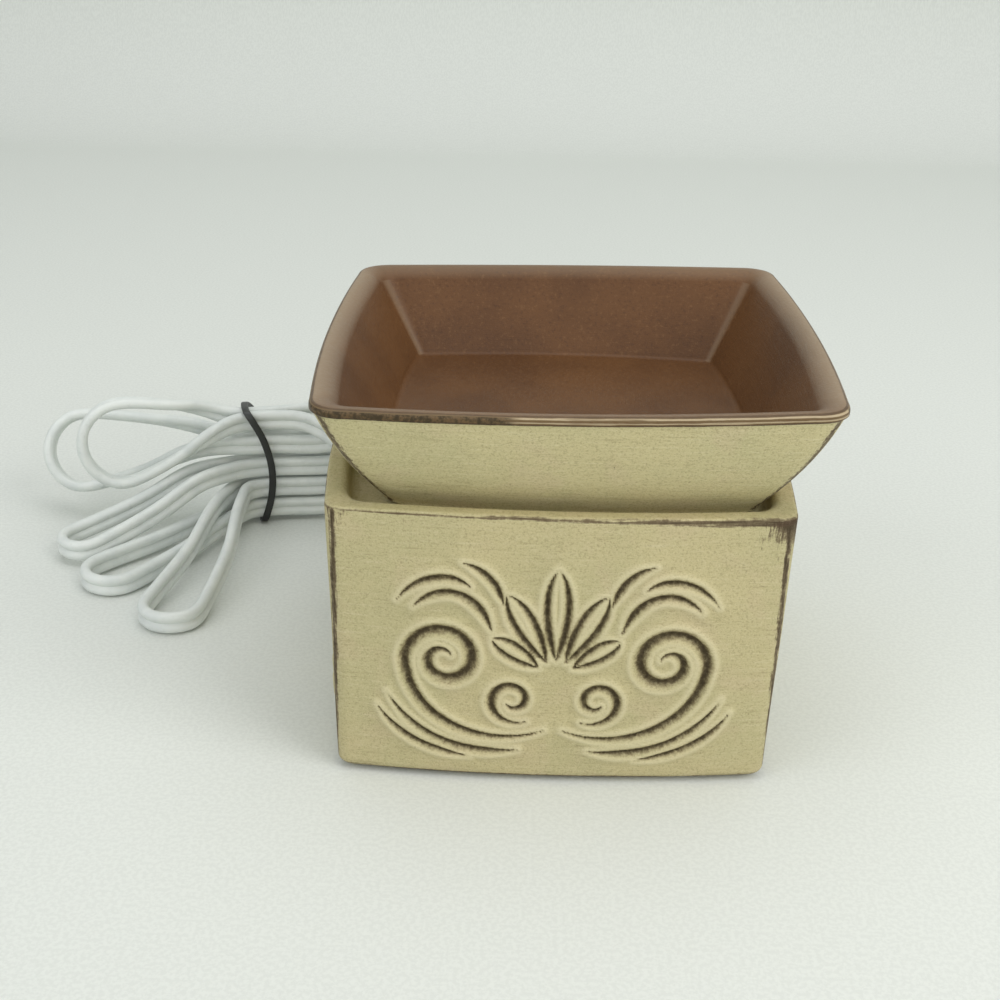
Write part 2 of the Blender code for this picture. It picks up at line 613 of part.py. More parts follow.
def build_socket():
    steps = 24
    web_bottom = SOCKET_WEB_TOP - SOCKET_WEB
    flange_low = FLOOR_TOP + GAP + GASKET_THICK + GAP
    shell = turned("socket_shell", (
        (0, SOCKET_BOTTOM), (SOCKET_RADIUS - 0.5 * MM, SOCKET_BOTTOM),
        (SOCKET_RADIUS, SOCKET_BOTTOM + 0.5 * MM), (SOCKET_RADIUS, flange_low),
        (FLANGE_RADIUS, flange_low), (FLANGE_RADIUS, flange_low + FLANGE_THICK),
        (SOCKET_RADIUS, flange_low + FLANGE_THICK + 0.8 * MM),
        (SOCKET_RADIUS, SOCKET_TOP - 0.8 * MM), (SOCKET_RADIUS - 0.8 * MM, SOCKET_TOP),
        (SOCKET_BORE, SOCKET_TOP), (SOCKET_BORE, SOCKET_WEB_TOP), (0, SOCKET_WEB_TOP),
    ), dark_moulding(), LAMP_AXIS)
    chamber = turned_mesh(((0, SOCKET_BOTTOM + CHAMBER_FLOOR),
                           (CHAMBER_RADIUS, SOCKET_BOTTOM + CHAMBER_FLOOR),
                           (CHAMBER_RADIUS, web_bottom), (0, web_bottom)), steps=steps)
    cut(shell, cutter("wiring_chamber_cutter", chamber, LAMP_AXIS))
    inlet = box_mesh((-CHANNEL_WIDTH / 2, 0.5 * CHAMBER_RADIUS, CORD_HEIGHT - CHANNEL_THICK / 2),
                     (CHANNEL_WIDTH / 2, 2 * SOCKET_RADIUS, CORD_HEIGHT + CHANNEL_THICK / 2))
    cut(shell, cutter("cord_inlet_cutter", inlet, LAMP_AXIS))
    rivet_hole = 1.0 * MM + GAP
    drill = turned_mesh(((0, web_bottom - MM), (rivet_hole, web_bottom - MM),
                         (rivet_hole, SOCKET_WEB_TOP + MM), (0, SOCKET_WEB_TOP + MM)), steps=12)
    cut(shell, cutter("rivet_hole_cutter", drill, LAMP_AXIS))

    inner = SOCKET_RADIUS + GAP
    gasket_low = FLOOR_TOP + GAP
    turned("socket_gasket", ((inner, gasket_low), (FLANGE_RADIUS, gasket_low),
                             (FLANGE_RADIUS, gasket_low + GASKET_THICK),
                             (inner, gasket_low + GASKET_THICK)),
           grey_rubber(), LAMP_AXIS, closed=True)
    nut_top = FLOOR_UNDER - GAP
    turned("socket_ring_nut", ((inner, nut_top - NUT_HEIGHT), (NUT_RADIUS, nut_top - NUT_HEIGHT),
                               (NUT_RADIUS, nut_top), (inner, nut_top)),
           dark_moulding(), LAMP_AXIS, closed=True, steps=24)

    # brass liner with its thread, and the sprung tab at the bottom
    outer = SOCKET_BORE - GAP
    crest = THREAD_CREST + THREAD_CLEARANCE
    rings = [plain_ring(outer, LINER_BOTTOM, steps), plain_ring(outer, LINER_TOP, steps)]
    threads = threaded_rings(crest, CAP_BOTTOM, LINER_TOP - 0.4 * MM, crest, steps, 6)
    rings.extend(reversed(threads))
    floor_z = LINER_BOTTOM + LINER_BASE
    hole = SOLDER_RADIUS + 1.5 * MM
    rings.append(plain_ring(crest, floor_z, steps))
    rings.append(plain_ring(hole, floor_z, steps))
    rings.append(plain_ring(hole, LINER_BOTTOM, steps))
    add_object("socket_screw_shell", loft_mesh(rings, cycle=True), brass(), LAMP_AXIS)
    rivet = 1.0 * MM
    head = SOLDER_RADIUS + 0.7 * MM
    turned("socket_center_contact", (
        (0, web_bottom - 0.8 * MM), (rivet, web_bottom - 0.8 * MM), (rivet, LINER_BOTTOM),
        (head, LINER_BOTTOM), (head, CONTACT_TOP - 0.2 * MM), (head - 0.4 * MM, CONTACT_TOP),
        (0, CONTACT_TOP)), brass(), LAMP_AXIS, steps=20)


def wire(name, points, radius, finish, location=(0, 0, 0), resolution=1):
    """A round wire along a few points, as a curve with filled ends."""
    curve = bpy.data.curves.new(name, "CURVE")
    curve.dimensions = "3D"
    curve.bevel_depth = radius
    curve.bevel_resolution = resolution
    curve.use_fill_caps = True
    spline = curve.splines.new("POLY")
    spline.points.add(len(points) - 1)
    for slot, point in zip(spline.points, points):
        slot.co = (*point, 1.0)
    curve.materials.append(finish)
    obj = bpy.data.objects.new(name, curve)
    obj.location = location
    bpy.context.collection.objects.link(obj)
    return obj


def build_lamp():
    steps = 24
    solder_top = LAMP_FOOT + SOLDER_HEIGHT
    turned("bulb_foot_contact", ((0, LAMP_FOOT), (0.6 * SOLDER_RADIUS, LAMP_FOOT),
                                 (SOLDER_RADIUS, LAMP_FOOT + 0.8 * MM),
                                 (SOLDER_RADIUS, solder_top), (0, solder_top)),
           steel(), LAMP_AXIS, steps=20)
    insulator_low = solder_top + GAP
    insulator_top = CAP_BOTTOM - GAP
    turned("bulb_insulator", ((0, insulator_low), (SOLDER_RADIUS + 0.4 * MM, insulator_low),
                              (THREAD_CREST - THREAD_DEPTH - 0.6 * MM, insulator_top),
                              (0, insulator_top)),
           dark_moulding(), LAMP_AXIS, steps=24)

    root = THREAD_CREST - THREAD_DEPTH
    inner = root - CAP_WALL
    rings = [plain_ring(inner, CAP_BOTTOM, steps), plain_ring(root - 0.3 * MM, CAP_BOTTOM, steps)]
    low = CAP_BOTTOM + 0.8 * MM
    rings.extend(threaded_rings(THREAD_CREST, low, low + THREAD_TURNS * THREAD_PITCH,
                                root, steps, 6))
    rings.append(plain_ring(root, CAP_TOP, steps))
    rings.append(plain_ring(inner, CAP_TOP, steps))
    add_object("bulb_screw_shell", loft_mesh(rings, cycle=True), brass(), LAMP_AXIS)

    neck_low = CAP_TOP - 7.0 * MM
    centre = LAMP_TOP - BULB_RADIUS
    neck = min(BULB_NECK, inner - GAP)
    outline = [(neck, neck_low), (neck, CAP_TOP + 1.0 * MM)]
    for i in range(1, 4):
        share = i / 4
        swell = (1 - cos(pi * share)) / 2
        outline.append((neck + (BULB_RADIUS - neck) * swell,
                        CAP_TOP + MM + (centre - CAP_TOP - MM) * share))
    for i in range(9):
        angle = pi / 2 * i / 9
        outline.append((BULB_RADIUS * cos(angle), centre + BULB_RADIUS * sin(angle)))
    inside = [(0, LAMP_TOP - BULB_WALL)]
    for r, z in reversed(outline[1:]):
        height = z - BULB_WALL * max(0.0, (z - centre) / BULB_RADIUS)
        inside.append((max(r - BULB_WALL, 0.15 * MM), height))
    inside.append((neck - BULB_WALL, neck_low))
    profile = inside + outline + [(0, LAMP_TOP)]
    turned("bulb_glass", profile, clear_glass(), LAMP_AXIS, steps=24)

    stem_top = CAP_TOP + 5.0 * MM
    stem = min(STEM_RADIUS, neck - BULB_WALL - GAP)
    turned("bulb_stem", ((0, neck_low), (stem, neck_low), (stem, CAP_TOP),
                         (0.5 * stem, stem_top), (0, stem_top)),
           clear_glass(), LAMP_AXIS, steps=16)
    top = centre + 1.0 * MM
    foot = stem_top + GAP
    for name, side in (("bulb_lead_left", -1), ("bulb_lead_right", 1)):
        points = (Vector((side * 0.25 * stem, 0, foot)),
                  Vector((side * 0.3 * stem, 0, foot + 1.5 * MM)),
                  Vector((side * FILAMENT_SPAN / 2, 0, top - 1.0 * MM)),
                  Vector((side * FILAMENT_SPAN / 2, 0, top)))
        wire(name, points, LEAD_RADIUS, steel(), LAMP_AXIS)
    reach = FILAMENT_SPAN / 2 - LEAD_RADIUS - GAP
    arc = [Vector((reach * t, 0, top - 0.8 * MM + 1.0 * MM * (1 - t * t)))
           for t in (-1, -0.6, -0.2, 0.2, 0.6, 1)]
    wire("bulb_filament", arc, FILAMENT_RADIUS, steel(), LAMP_AXIS)


def ribbon_mesh(points, wides, width=CORD_WIDTH, thick=CORD_THICK):
    """Sweep a flat eight-sided section along points. Each wide is the
    direction of the section's width, squared up to the path."""
    section = ((0.5, 0.16), (0.32, 0.5), (-0.32, 0.5), (-0.5, 0.16),
               (-0.5, -0.16), (-0.32, -0.5), (0.32, -0.5), (0.5, -0.16))
    rings = []
    last = len(points) - 1
    for i, point in enumerate(points):
        ahead = (points[min(i + 1, last)] - points[max(i - 1, 0)]).normalized()
        if 0 < i < last:
            arriving = (point - points[i - 1]).normalized()
            leaving = (points[i + 1] - point).normalized()
            ahead = (arriving + leaving).normalized()
        wide = wides[i] - ahead * wides[i].dot(ahead)
        wide.normalize()
        flat = ahead.cross(wide)
        rings.append([point + wide * (a * width) + flat * (b * thick) for a, b in section])
    return loft_mesh(rings)


def steady(wides):
    """Keep neighbouring width directions on the same side."""
    kept = [wides[0].normalized()]
    for wide in wides[1:]:
        kept.append(wide.normalized() if wide.dot(kept[-1]) >= 0 else -wide.normalized())
    return kept


def smooth_route(points, wides, step):
    """Read points a step apart from a smooth curve through the route's own."""
    out_points = []
    out_wides = []
    last = len(points) - 1
    for i in range(last):
        a = points[max(i - 1, 0)]
        b = points[i]
        c = points[i + 1]
        d = points[min(i + 2, last)]
        pieces = max(1, int(round((c - b).length / step)))
        for k in range(pieces):
            t = k / pieces
            out_points.append(0.5 * (2 * b + (c - a) * t + (2 * a - 5 * b + 4 * c - d) * t * t
                                     + (3 * b - a - 3 * c + d) * t ** 3))
            out_wides.append(wides[i].lerp(wides[i + 1], t))
    out_points.append(points[-1])
    out_wides.append(wides[-1])
    return out_points, out_wides


def hank_point(along, front, z):
    return TIE_POINT + HANK_RIGHT * along - HANK_BACK * front + UP * z


def ease(t):
    t = min(1.0, max(0.0, t))
    return t * t * (3 - 2 * t)


def about_up(vector, degrees):
    angle = radians(degrees)
    return Vector((vector.x * cos(angle) - vector.y * sin(angle),
                   vector.x * sin(angle) + vector.y * cos(angle), vector.z))


def loop_points(way, side, row_out, row_back, reach, front, height, leave, arrive,
                half, tilt):
    """One loop from the tie out to its round end and back. way is -1 to the
    left and 1 to the right; side is the column that it leaves from."""
    out = HANK_RIGHT * way
    first = about_up(out, -leave * way)
    final = about_up(out, -arrive * way)
    end = hank_point(way * reach, front, height) - final * half

    def middle(s, row_z):
        start = hank_point(way * WAIST_HALF, 0, row_z)
        span = (Vector((end.x, end.y, row_z)) - start).length
        p1 = start + first * span * 0.18
        p2 = end - final * span * 0.42
        point = ((1 - s) ** 3 * start + 3 * (1 - s) ** 2 * s * p1
                 + 3 * (1 - s) * s * s * p2 + s ** 3 * end)
        ahead = (3 * (1 - s) ** 2 * (p1 - start) + 6 * (1 - s) * s * (p2 - p1)
                 + 3 * s * s * (end - p2))
        part = min(1.0, max(0.0, (s - 0.35) / 0.65))
        point.z = row_z + (height - row_z) * ease(part)
        ahead.z = 6 * part * (1 - part) / 0.65 * (height - row_z)
        return point, ahead.normalized()

    def across(ahead, s):
        level = (UP.cross(ahead) * way).normalized()
        lean = radians(tilt) * ease((s - 0.12) * 1.5)
        sideways = level * cos(lean) + UP * sin(lean)
        wide = ahead.cross(sideways)
        return sideways, wide if wide.z >= 0 else -wide

    shares = (0.0, 0.2, 0.42, 0.68, 1.0)
    points = []
    wides = []
    for s in shares:
        point, ahead = middle(s, row_out)
        sideways, wide = across(ahead, s)
        offset = COLUMN_HALF + (half - COLUMN_HALF) * s ** LOOP_GROWTH
        if s == 0:
            sideways = HANK_BACK
            offset = COLUMN_HALF / cos(radians(leave))
        points.append(point + sideways * offset * side)
        wides.append(wide)
    point, ahead = middle(1.0, row_out)
    sideways, wide = across(ahead, 1.0)
    for degrees in (60, 30, 0, -30, -60):
        turn = radians(degrees)
        points.append(point + ahead * half * cos(turn) + sideways * side * half * sin(turn))
        wides.append(wide)
    for s in reversed(shares):
        point, ahead = middle(s, row_back)
        sideways, wide = across(ahead, s)
        offset = COLUMN_HALF + (half - COLUMN_HALF) * s ** LOOP_GROWTH
        if s == 0:
            sideways = HANK_BACK
            offset = COLUMN_HALF / cos(radians(leave))
        points.append(point - sideways * offset * side)
        wides.append(wide)
    return points, wides


def row_height(row):
    return FIRST_ROW + ROW_STEP * row


def hank_start():
    """Where the folded cord begins, behind the loops, as it comes from the switch."""
    return hank_point(76 * MM, -17 * MM, ON_TABLE)


def plug_point():
    """Middle of the plug's back face, in front of the loops."""
    return hank_point(66 * MM, 35 * MM, PLUG_THICK / 2)


def hank_route():
    """The whole folded length: in from the switch, round every loop, and out
    to the plug, as points and the directions of the cord's width."""
    points = [hank_start(), hank_point(68.5 * MM, -17 * MM, ON_TABLE),
              hank_point(58 * MM, -16.5 * MM, ON_TABLE), hank_point(44 * MM, -13.5 * MM, ON_TABLE),
              hank_point(29 * MM, -9.5 * MM, 4.2 * MM), hank_point(15 * MM, -5.2 * MM, 4.9 * MM)]
    wides = [UP.copy() for _ in points]
    for k, (row, reach, front, height, leave, arrive, half, tilt) in enumerate(LEFT_LOOPS):
        z = row_height(row)
        loop, width = loop_points(-1, 1, z, z, reach, front, height, leave, arrive, half, tilt)
        points.extend(loop)
        wides.extend(width)
        if k < len(RIGHT_LOOPS):
            reach, front, height, leave, arrive, half, tilt = RIGHT_LOOPS[k]
            loop, width = loop_points(1, -1, z, row_height(LEFT_LOOPS[k + 1][0]),
                                      reach, front, height, leave, arrive, half, tilt)
            points.extend(loop)
            wides.extend(width)
    top = row_height(LEFT_LOOPS[-1][0])
    tail = ((5 * MM, COLUMN_HALF, top, 0.0), (16 * MM, 6 * MM, top, 0.0),
            (28 * MM, 15 * MM, top - 6 * MM, 0.15), (38 * MM, 23.5 * MM, top - 16 * MM, 0.4),
            (47 * MM, 30 * MM, 13 * MM, 0.7), (55 * MM, 34 * MM, 8 * MM, 1.0))
    for along, front, z, flat in tail:
        points.append(hank_point(along, front, z))
        wides.append(UP.lerp(HANK_BACK, flat))
    back = plug_point()
    for reach in (CORD_WIDTH + GAP, GAP):
        points.append(back - HANK_RIGHT * reach)
        wides.append(HANK_BACK)
    return points, steady(wides)


def least_gap(points, wides):
    """Smallest clear space between stretches of the cord that lie apart."""
    fine_points, fine_wides = smooth_route(points, wides, 2 * MM)
    travelled = [0.0]
    for a, b in zip(fine_points, fine_points[1:]):
        travelled.append(travelled[-1] + (b - a).length)
    shift = (CORD_WIDTH - CORD_THICK) / 2
    cores = [[p + w.normalized() * s for s in (-shift, 0.0, shift)]
             for p, w in zip(fine_points, fine_wides)]
    apart = 3 * CORD_WIDTH
    best = 1.0
    for i, here in enumerate(cores):
        for j in range(i + 1, len(cores)):
            if travelled[j] - travelled[i] < apart:
                continue
            if (fine_points[i] - fine_points[j]).length > 2 * CORD_WIDTH:
                continue
            best = min(best, min((a - b).length for a in here for b in cores[j]))
    return best - CORD_THICK, travelled[-1]


def build_cord():
    # held inside the vessel, from the socket into the strain relief
    level_x = Vector((1.0, 0.0, 0.0))
    relief_start = relief_outer_y()
    relief_end = relief_start + RELIEF_LENGTH
    inner_wall = BODY_BASE_HALF - FOOT_WALL
    x0 = BODY_SHIFT_X
    inside = [Vector((x0, 0.62 * SOCKET_RADIUS, CORD_HEIGHT)),
              Vector((x0, 1.3 * SOCKET_RADIUS, CORD_HEIGHT)),
              Vector((x0 + 0.3 * (CORD_EXIT_X - x0), 0.5 * inner_wall, CORD_HEIGHT)),
              Vector((CORD_EXIT_X - 0.1 * (CORD_EXIT_X - x0), 0.74 * inner_wall, CORD_HEIGHT)),
              Vector((CORD_EXIT_X, 0.92 * inner_wall, CORD_HEIGHT)),
              Vector((CORD_EXIT_X, relief_start - GAP, CORD_HEIGHT))]
    wides = [level_x] * len(inside)
    route, width = smooth_route(inside, wides, 8 * MM)
    add_object("supply_cord_inside", ribbon_mesh(route, width), white_cord())

    # lead through the strain relief and round behind the vessel to the switch
    level_y = Vector((0.0, 1.0, 0.0))
    half_way = (level_x + UP).normalized()
    switch_in = SWITCH_CENTRE.x + SWITCH_CAVITY_LENGTH / 2 + GAP
    switch_mouth = SWITCH_CENTRE.x + SWITCH_LENGTH / 2 + CORD_WIDTH
    y = SWITCH_CENTRE.y
    lead = [(Vector((CORD_EXIT_X, relief_start, CORD_HEIGHT)), level_x),
            (Vector((CORD_EXIT_X, relief_end, CORD_HEIGHT)), level_x),
            (Vector((CORD_EXIT_X, relief_end + CORD_WIDTH, CORD_HEIGHT)), level_x),
            (Vector((27 * MM, 94 * MM, 5.0 * MM)), half_way),
            (Vector((36 * MM, 102 * MM, 4.4 * MM)), UP),
            (Vector((50 * MM, 104.5 * MM, 4.2 * MM)), UP),
            (Vector((65 * MM, 107 * MM, 4.2 * MM)), UP),
            (Vector((75 * MM, 116 * MM, 4.8 * MM)), UP),
            (Vector((75 * MM, 127 * MM, 6.0 * MM)), (UP + level_y * 0.4).normalized()),
            (Vector((68 * MM, y - 0.4 * MM, 7.4 * MM)), (level_y + UP * 0.3).normalized()),
            (Vector((switch_mouth, y, SWITCH_MIDDLE)), level_y),
            (Vector((switch_in, y, SWITCH_MIDDLE)), level_y)]
    route, width = smooth_route([p for p, w in lead], [w for p, w in lead], 9 * MM)
    add_object("cord_lead", ribbon_mesh(route, steady(width)), white_cord())

    switch_out = SWITCH_CENTRE.x - SWITCH_CAVITY_LENGTH / 2 - GAP
    far_mouth = SWITCH_CENTRE.x - SWITCH_LENGTH / 2 - CORD_WIDTH
    start = hank_start()
    link = [(Vector((switch_out, y, SWITCH_MIDDLE)), level_y),
            (Vector((far_mouth, y, SWITCH_MIDDLE)), level_y),
            (Vector((far_mouth - 7 * MM, y - 0.8 * MM, 6.0 * MM)), (UP + level_y).normalized()),
            (start + HANK_RIGHT * CORD_WIDTH, UP),
            (start + HANK_RIGHT * GAP, UP)]
    route, width = smooth_route([p for p, w in link], [w for p, w in link], 8 * MM)
    add_object("cord_switch_to_hank", ribbon_mesh(route, steady(width)), white_cord())

    points, wides = hank_route()
    gap, length = least_gap(points, wides)
    print("hank length %.3f m, least gap to itself %.2f mm" % (length, gap / MM))
    add_object("cord_hank", ribbon_mesh(points, wides), white_cord())


def build_tie():
    """A flat tie wound once round the waist, its two ends crossing and
    standing off at the back left."""
    spare = 0.45 * MM
    half_wide = COLUMN_HALF / cos(radians(LEFT_LOOPS[1][4])) + CORD_THICK / 2 + spare
    low = FIRST_ROW - CORD_WIDTH / 2 - spare - TIE_THICK / 2
    high = row_height(LEFT_LOOPS[-1][0]) + CORD_WIDTH / 2 + spare + TIE_THICK / 2
    side = half_wide + TIE_THICK / 2
    round_off = 2.0 * MM
    middle = (low + high) / 2
    front_side = [(-side, high + (low - high) * share) for share in (0.25, 0.5, 0.75)]
    back_side = [(side, low + (high - low) * share) for share in (0.25, 0.5)]
    outline = [(side + 7 * MM, high - 5 * MM), (side + 3 * MM, high - 2 * MM),
               (side - round_off, high), (-side + round_off, high), (-side, high - round_off),
               *front_side, (-side, low + round_off), (-side + round_off, low),
               (side - round_off, low), (side, low + round_off), *back_side,
               (side, high - 11 * MM), (side + 2 * MM, high - 7.5 * MM),
               (side + 8 * MM, high - 9 * MM)]
    points = []
    last = len(outline) - 1
    for i, (back, z) in enumerate(outline):
        level = (z - middle) / (high - middle)
        slip = TIE_BULGE * (1 - level ** 2) - TIE_LEAN * level - 2.0 * MM
        shift = (TIE_WIDTH + 0.4 * MM) * (i / last - 0.5)
        points.append(hank_point(slip + shift, -back, z))
    wides = [HANK_RIGHT] * len(points)
    add_object("hank_tie", ribbon_mesh(points, wides, TIE_WIDTH, TIE_THICK), dark_moulding())


def relief_outer_y():
    """Where the strain relief's flange lies on the vessel's back face."""
    near = CORD_EXIT_X - BODY_SHIFT_X - RELIEF_FLANGE / 2
    return back_face_y(near, CORD_HEIGHT) + GAP


def relief_inner_y():
    """Where the strain relief's inner lip lies on the inside of that wall."""
    far = CORD_EXIT_X - BODY_SHIFT_X + RELIEF_FLANGE / 2
    return back_face_y(far, CORD_HEIGHT, FOOT_WALL) - GAP


def build_relief():
    start = relief_outer_y()
    wall_in = relief_inner_y()
    body_wide = NOTCH_WIDTH - 2 * GAP
    body_high = 2 * (NOTCH_TOP - GAP - CORD_HEIGHT)
    lip_high = body_high + 0.8 * MM
    tip_wide = CHANNEL_WIDTH + 2 * RELIEF_TIP_WALL
    tip_high = CHANNEL_THICK + 2 * RELIEF_TIP_WALL
    flange_end = start + RELIEF_FLANGE_THICK
    sleeve_end = start + RELIEF_LENGTH
    corner = 1.6 * MM
    outside = [(RELIEF_FLANGE - 2 * MM, lip_high, wall_in - RELIEF_LIP),
               (RELIEF_FLANGE - 2 * MM, lip_high, wall_in),
               (body_wide, body_high, wall_in), (body_wide, body_high, start),
               (RELIEF_FLANGE, lip_high, start), (RELIEF_FLANGE, lip_high, flange_end),
               (body_wide + 0.8 * MM, body_high, flange_end)]
    ribs = 5
    for i in range(ribs):
        share = (i + 0.5) / ribs
        wide = body_wide + 0.8 * MM + (tip_wide - body_wide - 0.8 * MM) * share
        high = body_high + (tip_high - body_high) * share
        at = flange_end + (sleeve_end - flange_end) * share
        outside.append((wide, high, at - 1.1 * MM))
        outside.append((wide - 0.7 * MM, high - 0.7 * MM, at - 0.7 * MM))
        outside.append((wide - 0.7 * MM, high - 0.7 * MM, at + 0.4 * MM))
        outside.append((wide, high, at + 0.8 * MM))
    outside.append((tip_wide, tip_high, sleeve_end))
    bore = [(CHANNEL_WIDTH, CHANNEL_THICK, sleeve_end),
            (CHANNEL_WIDTH, CHANNEL_THICK, wall_in - RELIEF_LIP)]
    rings = [slab_ring(w, h, corner, at) for w, h, at in outside + bore]
    bm = loft_mesh(rings, cycle=True)
    relief = add_object("cord_strain_relief", bm, white_plastic(),
                        (CORD_EXIT_X, 0, CORD_HEIGHT))
    relief.rotation_euler = (0, 0, pi / 2)
    return relief


def switch_section(share):
    """Width and height of the switch at a share of its half length."""
    swell = cos(min(1.0, share) * pi / 2) ** 0.55
    wide = SWITCH_END_WIDTH + (SWITCH_WIDTH - SWITCH_END_WIDTH) * swell
    high = SWITCH_END_HEIGHT + (SWITCH_HEIGHT - SWITCH_END_HEIGHT) * swell
    return wide, high


def switch_case_mesh():
    rings = []
    for share in (-1.0, -0.97, -0.9, -0.78, -0.6, -0.35, 0.0, 0.35, 0.6, 0.78, 0.9, 0.97, 1.0):
        wide, high = switch_section(abs(share))
        inset = 1.2 * MM if abs(share) == 1.0 else 0.0
        ring = slab_ring(wide - inset, high - inset, 3.0 * MM, share * SWITCH_LENGTH / 2)
        # the underside stays flat on the table, short of the tapered ends
        drop = (SWITCH_HEIGHT - high) / 2 if abs(share) < 0.9 else 0.0
        for point in ring:
            point.z += SWITCH_MIDDLE - (drop if point.z < 0 else 0.0)
        rings.append(ring)
    return loft_mesh(rings)


def build_switch():
    """Two clipped half cases with the thumb wheel between them."""
    half_length = SWITCH_LENGTH / 2
    shelf = SWITCH_SIDE_WALL
    roof = SWITCH_HEIGHT - SWITCH_SIDE_WALL
    cavity = box_mesh((-SWITCH_CAVITY_LENGTH / 2, -SWITCH_WIDTH / 2 + SWITCH_SIDE_WALL, shelf),
                      (SWITCH_CAVITY_LENGTH / 2, SWITCH_WIDTH / 2 - SWITCH_SIDE_WALL, roof))
    slot_half = sqrt(WHEEL_RADIUS ** 2 - (SWITCH_WIDTH / 2 - SWITCH_SIDE_WALL) ** 2) + 2 * GAP
    wheel_low = SWITCH_MIDDLE - WHEEL_THICK / 2
    wheel_high = SWITCH_MIDDLE + WHEEL_THICK / 2
    slot = box_mesh((-slot_half, -SWITCH_WIDTH, wheel_low - GAP),
                    (slot_half, SWITCH_WIDTH, wheel_high + GAP))
    channel = box_mesh((-SWITCH_LENGTH, -CHANNEL_WIDTH / 2, SWITCH_MIDDLE - CHANNEL_THICK / 2),
                       (SWITCH_LENGTH, CHANNEL_WIDTH / 2, SWITCH_MIDDLE + CHANNEL_THICK / 2))
    tools = [cutter("switch_cavity_cutter", cavity, SWITCH_CENTRE),
             cutter("wheel_slot_cutter", slot, SWITCH_CENTRE),
             cutter("switch_channel_cutter", channel, SWITCH_CENTRE)]
    head_low = SWITCH_HEIGHT - SCREW_HEAD_HEIGHT - 1.6 * MM
    screw_low = 2.4 * MM
    places = [Vector((-SCREW_REACH, -SCREW_SIDE, 0)), Vector((SCREW_REACH, SCREW_SIDE, 0))]
    for number, place in enumerate(places, 1):
        hole = turned_mesh(((0, screw_low - GAP), (SCREW_SHANK + GAP, screw_low - GAP),
                            (SCREW_SHANK + GAP, head_low - GAP), (SCREW_HEAD + GAP, head_low - GAP),
                            (SCREW_HEAD + GAP, 2 * SWITCH_HEIGHT), (0, 2 * SWITCH_HEIGHT)), steps=16)
        tools.append(cutter("screw_hole_cutter_%d" % number, hole, SWITCH_CENTRE + place))
        turned("switch_screw_%d" % number, (
            (0, screw_low), (SCREW_SHANK, screw_low), (SCREW_SHANK, head_low),
            (SCREW_HEAD, head_low), (SCREW_HEAD, head_low + SCREW_HEAD_HEIGHT - 0.4 * MM),
            (SCREW_HEAD - 0.4 * MM, head_low + SCREW_HEAD_HEIGHT),
            (0, head_low + SCREW_HEAD_HEIGHT)), steel(), SWITCH_CENTRE + place, steps=16)
    seam = GAP / 2
    above = box_mesh((-half_length - MM, -SWITCH_WIDTH, SWITCH_MIDDLE - seam),
                     (half_length + MM, SWITCH_WIDTH, 2 * SWITCH_HEIGHT))
    below = box_mesh((-half_length - MM, -SWITCH_WIDTH, -SWITCH_HEIGHT),
                     (half_length + MM, SWITCH_WIDTH, SWITCH_MIDDLE + seam))
    above_tool = cutter("switch_above_cutter", above, SWITCH_CENTRE)
    below_tool = cutter("switch_below_cutter", below, SWITCH_CENTRE)
    for name, removed in (("switch_lower_case", above_tool), ("switch_upper_case", below_tool)):
        case = add_object(name, switch_case_mesh(), white_plastic(), SWITCH_CENTRE)
        cut(case, removed)
        for tool in tools:
            cut(case, tool)

    # thumb wheel with its ribbed edge, turning on the axle pin
    rim = []
    for i in range(2 * WHEEL_RIBS):
        angle = 2 * pi * i / (2 * WHEEL_RIBS)
        radius = WHEEL_RADIUS - (WHEEL_RIB_DEPTH if i % 2 else 0.0)
        rim.append((radius * cos(angle), radius * sin(angle), angle))

    def wheel_ring(z, share=None, radius=None):
        if radius is not None:
            return [Vector((radius * cos(a), radius * sin(a), z)) for x, y, a in rim]
        return [Vector((x * share, y * share, z)) for x, y, a in rim]

    hub_low = shelf + GAP
    hub_high = roof - GAP
    rings = [wheel_ring(hub_low, radius=WHEEL_HUB), wheel_ring(wheel_low, radius=WHEEL_HUB),
             wheel_ring(wheel_low, share=0.96), wheel_ring(wheel_low + 0.5 * MM, share=1.0),
             wheel_ring(wheel_high - 0.5 * MM, share=1.0), wheel_ring(wheel_high, share=0.96),
             wheel_ring(wheel_high, radius=WHEEL_HUB), wheel_ring(hub_high, radius=WHEEL_HUB),
             wheel_ring(hub_high, radius=AXLE_RADIUS + GAP),
             wheel_ring(hub_low, radius=AXLE_RADIUS + GAP)]
    add_object("switch_wheel", loft_mesh(rings, cycle=True), white_plastic(), SWITCH_CENTRE, 30)
    turned("switch_axle_pin", ((0, hub_low), (AXLE_RADIUS, hub_low), (AXLE_RADIUS, hub_high),
                               (0, hub_high)), steel(), SWITCH_CENTRE, steps=20)
    contact_y = SWITCH_WIDTH / 2 - SWITCH_SIDE_WALL - GAP - CONTACT_THICK
    for name, way in (("switch_contact_in", 1), ("switch_contact_out", -1)):
        near = way * (SWITCH_CAVITY_LENGTH / 2 - GAP)
        far = way * (SWITCH_CAVITY_LENGTH / 2 - GAP - CONTACT_LENGTH)
        strip = box_mesh((min(near, far), contact_y, shelf + GAP),
                         (max(near, far), contact_y + CONTACT_THICK, shelf + GAP + CONTACT_HEIGHT))
        add_object(name, strip, brass(), SWITCH_CENTRE)


